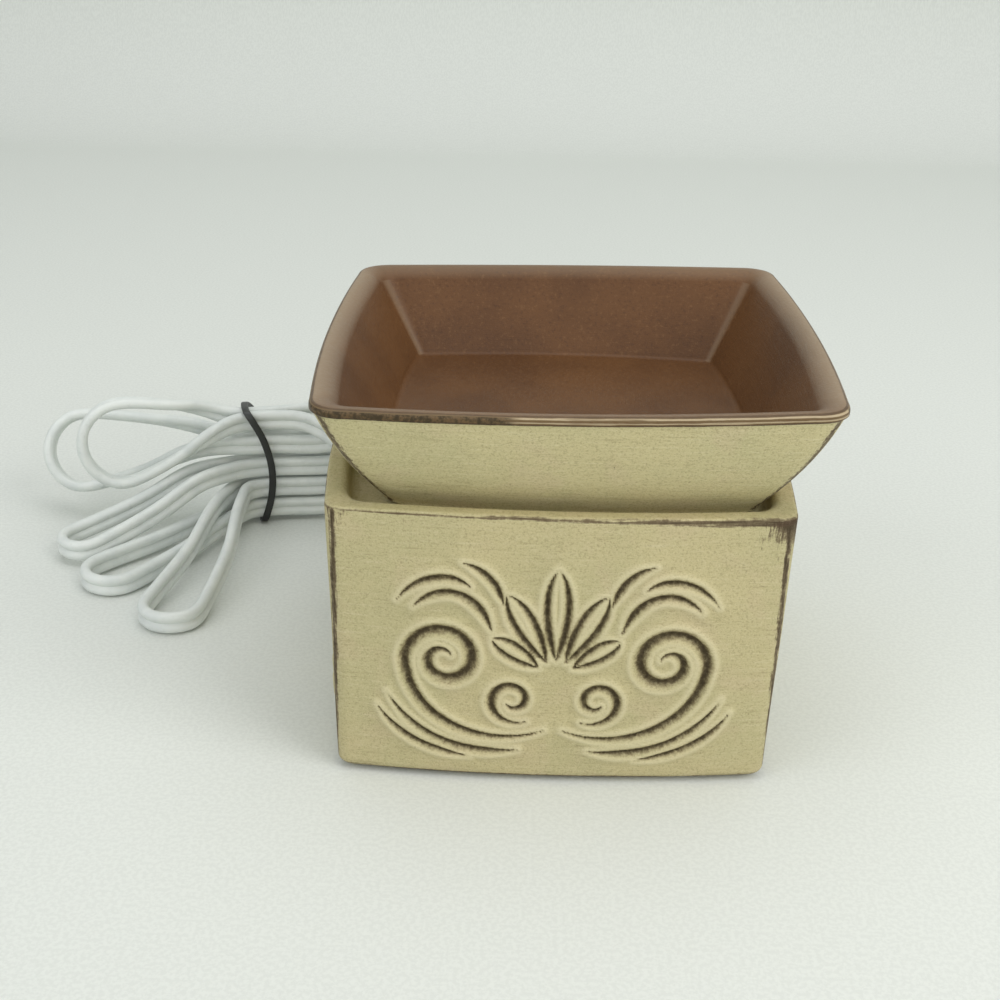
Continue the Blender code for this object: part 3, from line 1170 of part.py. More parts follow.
def build_plug():
    origin = plug_point()
    angle = radians(HANK_ANGLE)
    nose_wide = CORD_WIDTH + 2.6 * MM
    nose_high = CORD_THICK + 3.0 * MM
    # width and thickness along the moulded body, from the cord's end
    stations = ((0.0, nose_wide - 0.8 * MM, nose_high - 0.6 * MM), (0.6 * MM, nose_wide, nose_high),
                (PLUG_NOSE_LENGTH, nose_wide + 1.6 * MM, nose_high + 1.4 * MM),
                (PLUG_NOSE_LENGTH + 1.5 * MM, 0.72 * PLUG_WIDTH, 0.8 * PLUG_THICK),
                (PLUG_NOSE_LENGTH + 4.0 * MM, 0.86 * PLUG_WIDTH, 0.94 * PLUG_THICK),
                (0.62 * PLUG_LENGTH, 0.8 * PLUG_WIDTH, 0.9 * PLUG_THICK),
                (0.78 * PLUG_LENGTH, 0.93 * PLUG_WIDTH, PLUG_THICK),
                (PLUG_LENGTH - 1.0 * MM, PLUG_WIDTH, PLUG_THICK),
                (PLUG_LENGTH, PLUG_WIDTH - 1.2 * MM, PLUG_THICK - 1.2 * MM))
    rings = [slab_ring(w, h, 3.2 * MM, at) for at, w, h in stations]
    body = add_object("plug_body", loft_mesh(rings), white_plastic(), origin)
    body.rotation_euler = (0, 0, angle)
    for name, side, high in (("narrow", -1, BLADE_NARROW), ("wide", 1, BLADE_WIDE)):
        middle = side * BLADE_SPACING / 2
        low = Vector((PLUG_LENGTH - BLADE_DEPTH, middle - BLADE_THICK / 2, -high / 2))
        top = Vector((PLUG_LENGTH + BLADE_LENGTH, middle + BLADE_THICK / 2, high / 2))
        blade_mesh = box_mesh(low, top)
        tip = [v for v in blade_mesh.verts if v.co.x > PLUG_LENGTH]
        for v in tip:
            v.co.z *= 0.82
            v.co.y = middle + (v.co.y - middle) * 0.6
        shoulder = PLUG_LENGTH + BLADE_LENGTH - 2.2 * MM
        split = bmesh.ops.bisect_plane(blade_mesh, geom=blade_mesh.verts[:] + blade_mesh.edges[:]
                                       + blade_mesh.faces[:], plane_co=(shoulder, 0, 0),
                                       plane_no=(1, 0, 0))
        for piece in split["geom_cut"]:
            if isinstance(piece, bmesh.types.BMVert):
                piece.co.z = high / 2 if piece.co.z > 0 else -high / 2
                piece.co.y = middle + (BLADE_THICK / 2 if piece.co.y > middle else -BLADE_THICK / 2)
        blade = add_object("plug_blade_" + name, blade_mesh, brass(), origin)
        blade.rotation_euler = (0, 0, angle)
        spare = Vector((GAP, GAP, GAP))
        pocket = box_mesh(low - spare, Vector((PLUG_LENGTH + MM, top.y, top.z)) + spare)
        pocket_tool = cutter("blade_pocket_cutter_" + name, pocket, origin)
        pocket_tool.rotation_euler = (0, 0, angle)
        cut(body, pocket_tool)


def main():
    clear_scene()
    build_vessel()
    build_foot_pads()
    build_dish()
    build_socket()
    build_lamp()
    build_relief()
    build_cord()
    build_tie()
    build_switch()
    build_plug()


main()
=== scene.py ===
"""Looks of the electric wax warmer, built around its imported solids.

Lengths are in metres, +Z is up and the front of the warmer faces -Y. The
camera and the cords come first, then the ceramic, the lamp and the rest."""

from math import cos, pi, radians, sin, sqrt

import bmesh
import bpy
import numpy as np
from mathutils import Matrix, Vector, noise


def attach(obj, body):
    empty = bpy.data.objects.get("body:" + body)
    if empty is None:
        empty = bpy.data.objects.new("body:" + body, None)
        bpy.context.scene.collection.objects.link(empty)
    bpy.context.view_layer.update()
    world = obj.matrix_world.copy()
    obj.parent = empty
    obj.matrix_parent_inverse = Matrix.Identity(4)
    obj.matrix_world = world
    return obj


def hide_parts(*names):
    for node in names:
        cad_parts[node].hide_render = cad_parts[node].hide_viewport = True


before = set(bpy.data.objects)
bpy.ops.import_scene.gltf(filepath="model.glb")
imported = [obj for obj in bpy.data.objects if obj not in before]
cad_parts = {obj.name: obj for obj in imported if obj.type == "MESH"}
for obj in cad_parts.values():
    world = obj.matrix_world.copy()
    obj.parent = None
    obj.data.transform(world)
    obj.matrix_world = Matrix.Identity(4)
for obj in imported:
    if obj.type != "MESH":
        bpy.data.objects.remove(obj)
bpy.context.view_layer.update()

MM = 0.001
GAP = 0.3 * MM
UP = Vector((0.0, 0.0, 1.0))

# Sizes of the solids, as the part has them
BODY_SHIFT_X = -2.9 * MM
BODY_TOP_HALF = 55.3 * MM
BODY_BASE_HALF = 54.0 * MM
BODY_BOW = 3.3 * MM
BODY_HEIGHT = 75.0 * MM
BODY_CORNER = 4.2 * MM
RIM_ROUND = 1.0 * MM
RIM_ROUND_INSIDE = 2.2 * MM
VESSEL_BOTTOM = 1.1 * MM
FOOT_EDGE = 2.4 * MM
FOOT_WALL = 7.2 * MM
RIM_WALL = 5.2 * MM
CHAMBER_WALL = 5.6 * MM
CHAMBER_CORNER = 7.0 * MM
MOUTH_CORNER = 9.0 * MM
FLOOR_UNDER = 10.0 * MM
FLOOR_TOP = 14.0 * MM
LEDGE_TOP = 70.1 * MM
LEDGE_WIDTH = 15.5 * MM
LEDGE_THICK = 4.5 * MM
LEDGE_SLOPE = 8.5 * MM
SOCKET_HOLE = 10.8 * MM
CARVING_MIDDLE = 36.5 * MM
PALMETTE_ROOT = -5.0        # these two in mm, on the face
LEAF_ROOT = 5.0
CARVED_ROWS = 128           # rings up each carved face

DISH_BASE_HALF = 44.8 * MM
DISH_BASE_BOW = 3.2 * MM
DISH_BULGE = 1.4 * MM
DISH_RIM_HALF = 60.5 * MM
DISH_RIM_BOW = 3.2 * MM
DISH_BOTTOM = LEDGE_TOP + GAP
DISH_TOP = DISH_BOTTOM + 31.8 * MM
DISH_SAG = 0.4 * MM
DISH_LEAN = 1.0 * MM
DISH_CORNER = 8.6 * MM
DISH_EDGE = 1.1 * MM
DISH_LIP = 6.0 * MM
DISH_BAND = 2.2 * MM
DISH_CREASE = 2.4 * MM
DISH_FLOOR_HALF = 42.4 * MM
DISH_FLOOR_TOP = DISH_BOTTOM + 8.7 * MM
DISH_FOOT_RING = 8.0 * MM
DISH_FOOT_RECESS = 3.4 * MM
DISH_FOOT_ROUND = 1.6 * MM
DISH_RECESS_CORNER = 8.0 * MM

CORD_WIDTH = 6.8 * MM
CORD_THICK = 3.5 * MM
CORD_HEIGHT = 5.4 * MM
CORD_EXIT_X = 24.0 * MM
ROUTE_STEP = 1.2 * MM           # between two rings of a cord
RELIEF_LENGTH = 20.0 * MM
RELIEF_FLANGE = 14.0 * MM

SWITCH_CENTRE = Vector((24.0 * MM, 133.0 * MM, 0.0))
SWITCH_LENGTH = 58.0 * MM
SWITCH_CAVITY_LENGTH = 30.0 * MM
SWITCH_MIDDLE = 8.0 * MM
PLUG_THICK = 13.0 * MM

TIE_POINT = Vector((-101.0 * MM, 94.0 * MM, 0.0))
HANK_ANGLE = 13.0
ROW_STEP = CORD_WIDTH + 0.8 * MM
COLUMN_HALF = (CORD_THICK + 0.9 * MM) / 2
FIRST_ROW = 5.1 * MM
ON_TABLE = 3.7 * MM
WAIST_HALF = 5.0 * MM
TIE_WIDTH = 2.4 * MM
TIE_THICK = 0.8 * MM
TIE_BULGE = 5.5 * MM
TIE_LEAN = 1.5 * MM
LOOP_GROWTH = 1.25
# Each left loop: row at the tie, then in mm how far its end reaches out, to
# the front and up, the degrees it turns to the front as it leaves the tie and
# as it arrives, its half width in mm and the tilt of its plane. The right
# loops lie between two left ones, which set their rows.
LEFT_LOOPS = (
    (0.0, 57, 46.5, 3.7, 37, 36, 9, 0),
    (1.0, 36, 76, 3.7, 48, 60, 9, 0),
    (2.0, 67, 22, 5.5, 18, 16, 8, 0),
    (3.1, 72, -21, 22, -24, -12, 13, 66),
    (4.25, 59, 2, 32, 4, 0, 14, 82),
)
RIGHT_LOOPS = (
    (72, -2, 8.5, 0, 0, 10, 0),
    (68, -2, 16.2, 0, 0, 10, 0),
    (73, 0, 24, 0, 2, 10, 0),
    (64, 2, 37, 0, 0, 10, 0),
)
HANK_RIGHT = Vector((cos(radians(HANK_ANGLE)), sin(radians(HANK_ANGLE)), 0.0))
HANK_BACK = Vector((-HANK_RIGHT.y, HANK_RIGHT.x, 0.0))

# The photograph's camera, fitted to the square vessel and dish
CAMERA_PLACE = Vector((-15.2 * MM, -352.7 * MM, 214.0 * MM))
CAMERA_YAW = -0.007
CAMERA_PITCH = 0.430
CAMERA_ROLL = 0.023
CAMERA_LENS = 50.74


def make_camera():
    ahead = Vector((sin(CAMERA_YAW) * cos(CAMERA_PITCH),
                    cos(CAMERA_YAW) * cos(CAMERA_PITCH), -sin(CAMERA_PITCH)))
    level = Vector((cos(CAMERA_YAW), -sin(CAMERA_YAW), 0.0))
    over = level.cross(ahead)
    right = level * cos(CAMERA_ROLL) + over * sin(CAMERA_ROLL)
    top = over * cos(CAMERA_ROLL) - level * sin(CAMERA_ROLL)
    data = bpy.data.cameras.new("camera")
    data.lens = CAMERA_LENS
    data.sensor_width = 36.0
    data.clip_start = 0.01
    data.clip_end = 20.0
    camera = bpy.data.objects.new("camera", data)
    bpy.context.collection.objects.link(camera)
    turn = Matrix((right, top, -ahead)).transposed()
    camera.matrix_world = Matrix.Translation(CAMERA_PLACE) @ turn.to_4x4()
    bpy.context.scene.camera = camera


def srgb(*values):
    """A colour as a picture has it, red, green and blue from 0 to 255, as a linear one."""
    shares = [value / 255.0 for value in values]
    return (*(v / 12.92 if v <= 0.04045 else ((v + 0.055) / 1.055) ** 2.4 for v in shares), 1.0)


class Shader:
    """A material and short calls for the nodes that it is made of."""

    def __init__(self, name, roughness=0.5, metallic=0.0, **fixed):
        self.material = bpy.data.materials.new(name)
        self.material.use_nodes = True
        self.tree = self.material.node_tree
        self.main = self.tree.nodes["Principled BSDF"]
        self.main.inputs["Roughness"].default_value = roughness
        self.main.inputs["Metallic"].default_value = metallic
        for key, value in fixed.items():
            self.main.inputs[key.replace("_", " ")].default_value = value
        self.place = self.add("ShaderNodeTexCoord").outputs["Object"]

    def add(self, kind, settings=(), inputs=()):
        node = self.tree.nodes.new(kind)
        for key, value in dict(settings).items():
            setattr(node, key, value)
        for key, value in dict(inputs).items():
            self.put(node.inputs[key], value)
        return node

    def put(self, socket, value):
        if isinstance(value, bpy.types.NodeSocket):
            self.tree.links.new(value, socket)
        else:
            socket.default_value = value

    def stretched(self, x, y, z):
        node = self.add("ShaderNodeMapping", {}, {"Vector": self.place, "Scale": (x, y, z)})
        return node.outputs["Vector"]

    def noise(self, scale, detail=3.0, rough=0.55, place=None, distortion=0.0):
        node = self.add("ShaderNodeTexNoise", {}, {
            "Vector": place or self.place, "Scale": scale, "Detail": detail,
            "Roughness": rough, "Distortion": distortion})
        return node.outputs["Fac"]

    def attribute(self, name):
        return self.add("ShaderNodeAttribute", {"attribute_name": name}).outputs["Fac"]

    def between(self, value, low, high, bottom=0.0, top=1.0):
        """value's share of the way from low to high, smoothed and held."""
        node = self.add("ShaderNodeMapRange", {"interpolation_type": "SMOOTHSTEP"}, {
            "Value": value, "From Min": low, "From Max": high, "To Min": bottom, "To Max": top})
        return node.outputs["Result"]

    def math(self, operation, a, b=0.0):
        node = self.add("ShaderNodeMath", {"operation": operation})
        self.put(node.inputs[0], a)
        self.put(node.inputs[1], b)
        return node.outputs[0]

    def mix(self, share, a, b, blend="MIX"):
        node = self.add("ShaderNodeMix", {"data_type": "RGBA", "blend_type": blend})
        self.put(node.inputs["Factor"], share)
        self.put(node.inputs[6], a)
        self.put(node.inputs[7], b)
        return node.outputs[2]

    def coat(self, colour, paint, value, low, high, strength):
        """The colour with the paint over it, more the nearer the value is to high."""
        return self.mix(self.between(value, low, high, 0.0, strength), colour, paint)

    def bump(self, height, distance, strength=1.0, under=None):
        node = self.add("ShaderNodeBump", {}, {"Height": height, "Distance": distance,
                                               "Strength": strength})
        if under is not None:
            self.put(node.inputs["Normal"], under)
        return node.outputs["Normal"]

    def finish(self, colour=None, roughness=None, normal=None):
        for name, value in (("Base Color", colour), ("Roughness", roughness), ("Normal", normal)):
            if value is not None:
                self.put(self.main.inputs[name], value)
        return self.material


CREAM = srgb(201, 190, 145)
CREAM_WARM = srgb(202, 186, 149)
CREAM_GREEN = srgb(191, 184, 140)
CREAM_PALE = srgb(218, 208, 170)
CREAM_DARK = srgb(144, 131, 95)
WASH = srgb(54, 43, 24)
WASH_PURPLE = srgb(84, 66, 48)
DISH_BROWN = srgb(100, 67, 37)
DISH_BROWN_DARK = srgb(86, 56, 30)
DISH_BROWN_PALE = srgb(120, 88, 56)
DISH_BROWN_DEEP = srgb(66, 42, 26)
# The grey of the dish's flecks and of its painted sheen.
SHEEN_AND_FLECK_GREY = srgb(158, 139, 114)
WASH_SOFT = srgb(112, 98, 68)
SCRATCH = srgb(190, 172, 140)


def cream_glaze(s):
    """Colour and relief of the cream brushed glaze, shared by vessel and dish."""
    colour = s.coat(CREAM, CREAM_GREEN, s.noise(30.0, 4.0), 0.38, 0.64, 0.75)
    colour = s.coat(colour, CREAM_WARM, s.noise(75.0, 3.0, distortion=0.4), 0.48, 0.68, 0.45)
    strokes = s.noise(70.0, 5.0, 0.75, s.stretched(1.0, 1.0, 20.0))
    colour = s.coat(colour, CREAM_PALE, strokes, 0.53, 0.68, 0.45)
    colour = s.coat(colour, CREAM_DARK, strokes, 0.46, 0.30, 0.42)
    weave = s.noise(2300.0, 2.0, 0.75)
    across = s.noise(1100.0, 2.0, 0.6, s.stretched(1.0, 1.0, 2.2))
    grain = s.math("ADD", s.math("MULTIPLY", weave, 0.6), s.math("MULTIPLY", across, 0.4))
    colour = s.coat(colour, CREAM_DARK, grain, 0.50, 0.38, 0.46)
    colour = s.coat(colour, CREAM_PALE, grain, 0.53, 0.66, 0.40)
    colour = s.coat(colour, WASH_PURPLE, s.noise(620.0, 3.0, 0.6), 0.69, 0.76, 0.26)
    return colour, grain, strokes


def ragged(s, name, noises):
    """A painted zone whose border is broken up by the noises, each given as
    a texture and its weight."""
    value = s.attribute(name)
    for texture, weight in noises:
        value = s.math("ADD", value, s.math("MULTIPLY", s.math("SUBTRACT", texture, 0.5), weight))
    return value


def ceramic(name, inside=None):
    """Cream glaze, the carving washed brown with painted shade on the grooves' upper walls and
    painted highlight on their shoulders, brown wear on the edges, and dark lines at the feet that
    are partly painted shade.
    """
    s = Shader(name, 0.6, Specular_IOR_Level=0.25)
    colour, grain, strokes = cream_glaze(s)
    # On the vessel the cream goes a fifth of the way to CREAM_DARK: painted shade on its upright
    # faces, which catch more of the lamps than the dish's side.
    if not inside:
        colour = s.mix(0.20, colour, CREAM_DARK)
    speckle = s.noise(850.0, 3.0, 0.7)
    upright = s.noise(760.0, 4.0, 0.75, s.stretched(1.6, 1.6, 0.20))
    level = s.noise(62.0, 4.0, 0.7, s.stretched(1.0, 1.0, 26.0))
    # Painted highlight: paler cream along the groove shoulders, where light would catch the raised
    # edges.
    colour = s.mix(s.math("MULTIPLY", s.attribute("shoulder_highlight"), 0.55), colour, CREAM_PALE)
    worn = ragged(s, "edge", ((upright, 2.3), (speckle, 1.0)))
    colour = s.coat(colour, WASH_PURPLE, worn, 0.36, 0.84, 0.86)
    colour = s.coat(colour, WASH, worn, 0.80, 1.30, 0.80)
    # Brown lines along the vessel's rim and at the vessel's and the dish's feet, the ones at the
    # feet partly painted shade.
    band = ragged(s, "band", ((level, 1.9), (speckle, 0.7)))
    colour = s.coat(colour, WASH_PURPLE, band, 0.36, 0.80, 0.86)
    colour = s.coat(colour, WASH, band, 0.80, 1.25, 0.70)
    # Brown in the grooves: soft on the slopes, with a dark core set on the upper wall as painted
    # shade.
    slopes = ragged(s, "groove", ((speckle, 1.3),))
    colour = s.coat(colour, WASH_SOFT, slopes, 0.14, 0.90, 0.84)
    core = ragged(s, "groove", ((speckle, 0.8),))
    colour = s.coat(colour, WASH, core, 0.56, 1.10, 0.92)
    rough = s.between(speckle, 0.3, 0.7, 0.54, 0.70)
    relief = grain
    depth = 0.3 * MM
    if inside:
        colour, rough, relief = inside(s, colour, rough, grain, speckle, level)
        depth = 0.4 * MM
    normal = s.bump(relief, depth, 0.8)
    normal = s.bump(strokes, 0.2 * MM, 0.4, normal)
    return s.finish(colour, rough, normal)


def painted_line(s, along, low, high, gate, strength):
    """A brushed line between two places along the rim, where its gate lets it."""
    soft = 0.05
    inside = s.math("SUBTRACT", s.between(along, low - soft, low + soft),
                    s.between(along, high - soft, high + soft))
    return s.math("MULTIPLY", inside, s.math("MULTIPLY", gate, strength))


def brown_inside(s, colour, rough, grain, speckle, level):
    """The dish's satin brown glaze, over its lip and down the rim's band."""
    clouds = s.between(s.noise(26.0, 4.0), 0.36, 0.66)
    brown = s.mix(clouds, DISH_BROWN, DISH_BROWN_DARK)
    fine = s.noise(900.0, 3.0, 0.7)
    brown = s.coat(brown, DISH_BROWN_PALE, fine, 0.54, 0.70, 0.42)
    brown = s.coat(brown, DISH_BROWN_DEEP, fine, 0.46, 0.30, 0.42)
    brown = s.coat(brown, SHEEN_AND_FLECK_GREY, s.noise(240.0, 5.0, 0.75), 0.72, 0.80, 0.45)
    # lip: painted sheen, light grey on the lip, the wall tops and the inner corners, for the room's
    # reflection in the satin glaze.
    brown = s.mix(s.attribute("lip"), brown, SHEEN_AND_FLECK_GREY)
    side = s.between(ragged(s, "brown", ((speckle, 0.35), (level, 0.4))), 0.42, 0.58)
    colour = s.mix(side, colour, brown)
    wander = s.noise(34.0, 3.0, 0.6, s.stretched(1.0, 1.0, 0.2))
    along = s.math("ADD", s.attribute("along"),
                   s.math("MULTIPLY", s.math("SUBTRACT", level, 0.5), 0.7))
    broken = s.between(s.math("ADD", wander, s.attribute("scratch")), 0.55, 0.85)
    lively = s.between(level, 0.32, 0.52, 0.35, 1.0)
    marks = s.math("MULTIPLY", broken, lively)
    whole = s.between(speckle, 0.25, 0.55, 0.6, 1.0)
    dark = s.math("MULTIPLY", s.between(broken, 0.7, 0.1), s.between(speckle, 0.30, 0.62))
    # millimetres up the rim's band and over its edge, where it shows, strength, paint
    lines = ((-0.15, 0.42, whole, 0.95, WASH_PURPLE), (0.42, 2.3, whole, 0.55, WASH_SOFT),
             (0.0, 1.9, dark, 0.95, WASH),
             (0.62, 1.00, marks, 0.70, SCRATCH), (1.60, 2.05, marks, 0.80, SCRATCH),
             (2.20, 2.65, whole, 0.85, WASH_PURPLE))
    for low, high, gate, strength, paint in lines:
        colour = s.mix(painted_line(s, along, low, high, gate, strength), colour, paint)
    satin = s.between(fine, 0.3, 0.7, 0.36, 0.48)
    rough = s.math("ADD", s.math("MULTIPLY", s.math("SUBTRACT", 1.0, side), rough),
                   s.math("MULTIPLY", side, satin))
    calm = s.math("SUBTRACT", 1.0, s.math("MULTIPLY", side, 0.72))
    relief = s.math("MULTIPLY", grain, calm)
    return colour, rough, relief


def plain_material(name, colour, shade, roughness, grain=700.0, depth=0.05 * MM, metallic=0.0,
                   **fixed):
    """A moulded, rolled or rubbery surface: slight clouds, fine grain, scuffs."""
    s = Shader(name, roughness, metallic, **fixed)
    clouds = s.between(s.noise(60.0, 4.0), 0.35, 0.68)
    tint = s.mix(clouds, colour, shade)
    fine = s.noise(grain, 4.0, 0.6)
    scuffs = s.between(s.noise(300.0, 5.0, 0.7, s.stretched(1.0, 0.25, 1.0)), 0.60, 0.78)
    tint = s.mix(s.math("MULTIPLY", scuffs, 0.22), tint, shade)
    rough = s.between(s.math("ADD", s.math("MULTIPLY", fine, 0.6), s.math("MULTIPLY", scuffs, 0.4)),
                      0.1, 0.9, max(0.05, roughness - 0.08), min(1.0, roughness + 0.14))
    return s.finish(tint, rough, s.bump(fine, depth, 0.6))


def glass_material(name):
    """Clear glass with a little dust."""
    s = Shader(name, 0.04, Transmission_Weight=0.96, IOR=1.46)
    dust = s.between(s.noise(240.0, 4.0, 0.6), 0.5, 0.8)
    tint = s.mix(s.math("MULTIPLY", dust, 0.15), srgb(246, 250, 248), srgb(220, 226, 222))
    return s.finish(tint, s.between(dust, 0.0, 1.0, 0.03, 0.12))


def link(name, mesh, finish):
    mesh.materials.append(finish)
    obj = bpy.data.objects.new(name, mesh)
    bpy.context.collection.objects.link(obj)
    return obj


def skin_object(name, rings, finish, cap=False, cycle=False, fields=None):
    """A mesh from equal rings of points, an array of ring, point and axis.
    fields are values at each point, kept as attributes of their name."""
    rings = np.asarray(rings, dtype=float)
    count, steps, _ = rings.shape
    index = np.arange(count * steps).reshape(count, steps)
    low = index if cycle else index[:-1]
    high = np.roll(index, -1, axis=0) if cycle else index[1:]
    corners = [low, np.roll(low, -1, axis=1), np.roll(high, -1, axis=1), high]
    faces = np.stack(corners, axis=-1).reshape(-1, 4).tolist()
    if cap:
        faces.append(index[0][::-1].tolist())
        faces.append(index[-1].tolist())
    mesh = bpy.data.meshes.new(name)
    mesh.from_pydata(rings.reshape(-1, 3).tolist(), [], faces)
    for key, values in (fields or {}).items():
        layer = mesh.attributes.new(key, "FLOAT", "POINT")
        layer.data.foreach_set("value", np.asarray(values, dtype=np.float32).reshape(-1))
    bm = bmesh.new()
    bm.from_mesh(mesh)
    bmesh.ops.recalc_face_normals(bm, faces=bm.faces)
    bm.to_mesh(mesh)
    bm.free()
    mesh.shade_smooth()
    mesh.set_sharp_from_angle(angle=radians(50))
    return link(name, mesh, finish)


# Cords

def hank_point(along, front, z):
    return TIE_POINT + HANK_RIGHT * along - HANK_BACK * front + UP * z


def ease(t):
    t = min(1.0, max(0.0, t))
    return t * t * (3 - 2 * t)


def about_up(vector, degrees):
    angle = radians(degrees)
    return Vector((vector.x * cos(angle) - vector.y * sin(angle),
                   vector.x * sin(angle) + vector.y * cos(angle), vector.z))


def loop_points(way, row_out, row_back, reach, front, height, leave, arrive, half, tilt):
    """One loop of the hank, from the tie out to its round end and back."""
    height *= MM
    half *= MM
    side = -way
    out = HANK_RIGHT * way
    first = about_up(out, -leave * way)
    final = about_up(out, -arrive * way)
    end = hank_point(way * reach * MM, front * MM, height) - final * half

    def middle(s, row_z):
        start = hank_point(way * WAIST_HALF, 0, row_z)
        span = (Vector((end.x, end.y, row_z)) - start).length
        p1 = start + first * span * 0.18
        p2 = end - final * span * 0.42
        point = ((1 - s) ** 3 * start + 3 * (1 - s) ** 2 * s * p1
                 + 3 * (1 - s) * s * s * p2 + s ** 3 * end)
        ahead = (3 * (1 - s) ** 2 * (p1 - start) + 6 * (1 - s) * s * (p2 - p1)
                 + 3 * s * s * (end - p2))
        part = min(1.0, max(0.0, (s - 0.35) / 0.65))
        point.z = row_z + (height - row_z) * ease(part)
        ahead.z = 6 * part * (1 - part) / 0.65 * (height - row_z)
        return point, ahead.normalized()

    def across(ahead, s):
        level = (UP.cross(ahead) * way).normalized()
        lean = radians(tilt) * ease((s - 0.12) * 1.5)
        sideways = level * cos(lean) + UP * sin(lean)
        wide = ahead.cross(sideways)
        return sideways, wide if wide.z >= 0 else -wide

    shares = (0.0, 0.2, 0.42, 0.68, 1.0)
    points = []
    wides = []

    def run(row_z, order, sign):
        for s in order:
            point, ahead = middle(s, row_z)
            sideways, wide = across(ahead, s)
            offset = COLUMN_HALF + (half - COLUMN_HALF) * s ** LOOP_GROWTH
            if s == 0:
                sideways = HANK_BACK
                offset = COLUMN_HALF / cos(radians(leave))
            points.append(point + sideways * offset * side * sign)
            wides.append(wide)

    run(row_out, shares, 1)
    point, ahead = middle(1.0, row_out)
    sideways, wide = across(ahead, 1.0)
    for degrees in (60, 30, 0, -30, -60):
        turn = radians(degrees)
        points.append(point + ahead * half * cos(turn) + sideways * side * half * sin(turn))
        wides.append(wide)
    run(row_back, tuple(reversed(shares)), -1)
    return points, wides


def row_height(row):
    return FIRST_ROW + ROW_STEP * row


def hank_start():
    return hank_point(76 * MM, -17 * MM, ON_TABLE)


def plug_point():
    return hank_point(66 * MM, 35 * MM, PLUG_THICK / 2)


def hank_route():
    """The hank's points and wide directions, from its start to the plug."""
    points = [hank_start(), hank_point(68.5 * MM, -17 * MM, ON_TABLE),
              hank_point(58 * MM, -16.5 * MM, ON_TABLE), hank_point(44 * MM, -13.5 * MM, ON_TABLE),
              hank_point(29 * MM, -9.5 * MM, 4.2 * MM), hank_point(15 * MM, -5.2 * MM, 4.9 * MM)]
    wides = [UP.copy() for _ in points]
    rows = [row_height(row) for row, *shape in LEFT_LOOPS]
    loops = []
    for k, (row, *shape) in enumerate(LEFT_LOOPS):
        loops.append(loop_points(-1, rows[k], rows[k], *shape))
        if k < len(RIGHT_LOOPS):
            loops.append(loop_points(1, rows[k], rows[k + 1], *RIGHT_LOOPS[k]))
    for loop, width in loops:
        points.extend(loop)
        wides.extend(width)
    top = rows[-1]
    tail = ((5 * MM, COLUMN_HALF, top, 0.0), (16 * MM, 6 * MM, top, 0.0),
            (28 * MM, 15 * MM, top - 6 * MM, 0.15), (38 * MM, 23.5 * MM, top - 16 * MM, 0.4),
            (47 * MM, 30 * MM, 13 * MM, 0.7), (55 * MM, 34 * MM, 8 * MM, 1.0))
    for along, front, z, flat in tail:
        points.append(hank_point(along, front, z))
        wides.append(UP.lerp(HANK_BACK, flat))
    back = plug_point()
    points.append(back - HANK_RIGHT * (CORD_WIDTH + GAP))
    wides.append(HANK_BACK.copy())
    points.append(back - HANK_RIGHT * GAP)
    wides.append(HANK_BACK.copy())
    return points, wides


def steady(wides):
    kept = [wides[0].normalized()]
    for wide in wides[1:]:
        kept.append(wide.normalized() if wide.dot(kept[-1]) >= 0 else -wide.normalized())
    return kept


def smooth_route(points, wides, step):
    """Points a step apart on a smooth curve through the route's own."""
    out_points = []
    out_wides = []
    last = len(points) - 1
    for i in range(last):
        a = points[max(i - 1, 0)]
        b = points[i]
        c = points[i + 1]
        d = points[min(i + 2, last)]
        pieces = max(1, int(round((c - b).length / step)))
        for k in range(pieces):
            t = k / pieces
            out_points.append(0.5 * (2 * b + (c - a) * t + (2 * a - 5 * b + 4 * c - d) * t * t
                                     + (3 * b - a - 3 * c + d) * t ** 3))
            out_wides.append(wides[i].lerp(wides[i + 1], ease(t)))
    out_points.append(points[-1])
    out_wides.append(wides[-1])
    return out_points, out_wides


def zip_section():
    """Section of the flat cord: two round cores that meet in a groove."""
    core = CORD_THICK / 2
    centre = (CORD_WIDTH - CORD_THICK) / 2
    turns = [148 - 296 * i / 15 for i in range(16)]
    right = [(centre + core * cos(radians(t)), core * sin(radians(t))) for t in turns]
    left = [(-x, -z) for x, z in right]
    return [(0.0, 0.24 * CORD_THICK)] + right + [(0.0, -0.24 * CORD_THICK)] + left


def relaxed(points, wides, passes):
    """The same run with its kinks eased out and its two ends held."""
    run = np.array([(*point, *wide) for point, wide in zip(points, wides)])
    for _ in range(passes):
        run[1:-1] = (run[:-2] + 2 * run[1:-1] + run[2:]) / 4
    return [Vector(row[:3]) for row in run], [Vector(row[3:]) for row in run]


def sweep(name, points, wides, section, finish):
    rings = []
    last = len(points) - 1
    for i, point in enumerate(points):
        ahead = (points[min(i + 1, last)] - points[max(i - 1, 0)]).normalized()
        wide = wides[i] - ahead * wides[i].dot(ahead)
        wide.normalize()
        flat = ahead.cross(wide)
        rings.append([tuple(point + wide * a + flat * b) for a, b in section])
    return skin_object(name, rings, finish, cap=True)


def lay(name, route, passes, finish):
    """A flat cord along a route of points and wide directions, and its own points."""
    points, wides = smooth_route([Vector(point) for point, wide in route],
                                 steady([wide for point, wide in route]), ROUTE_STEP)
    points, wides = relaxed(points, wides, passes)
    return sweep(name, points, wides, zip_section(), finish), points


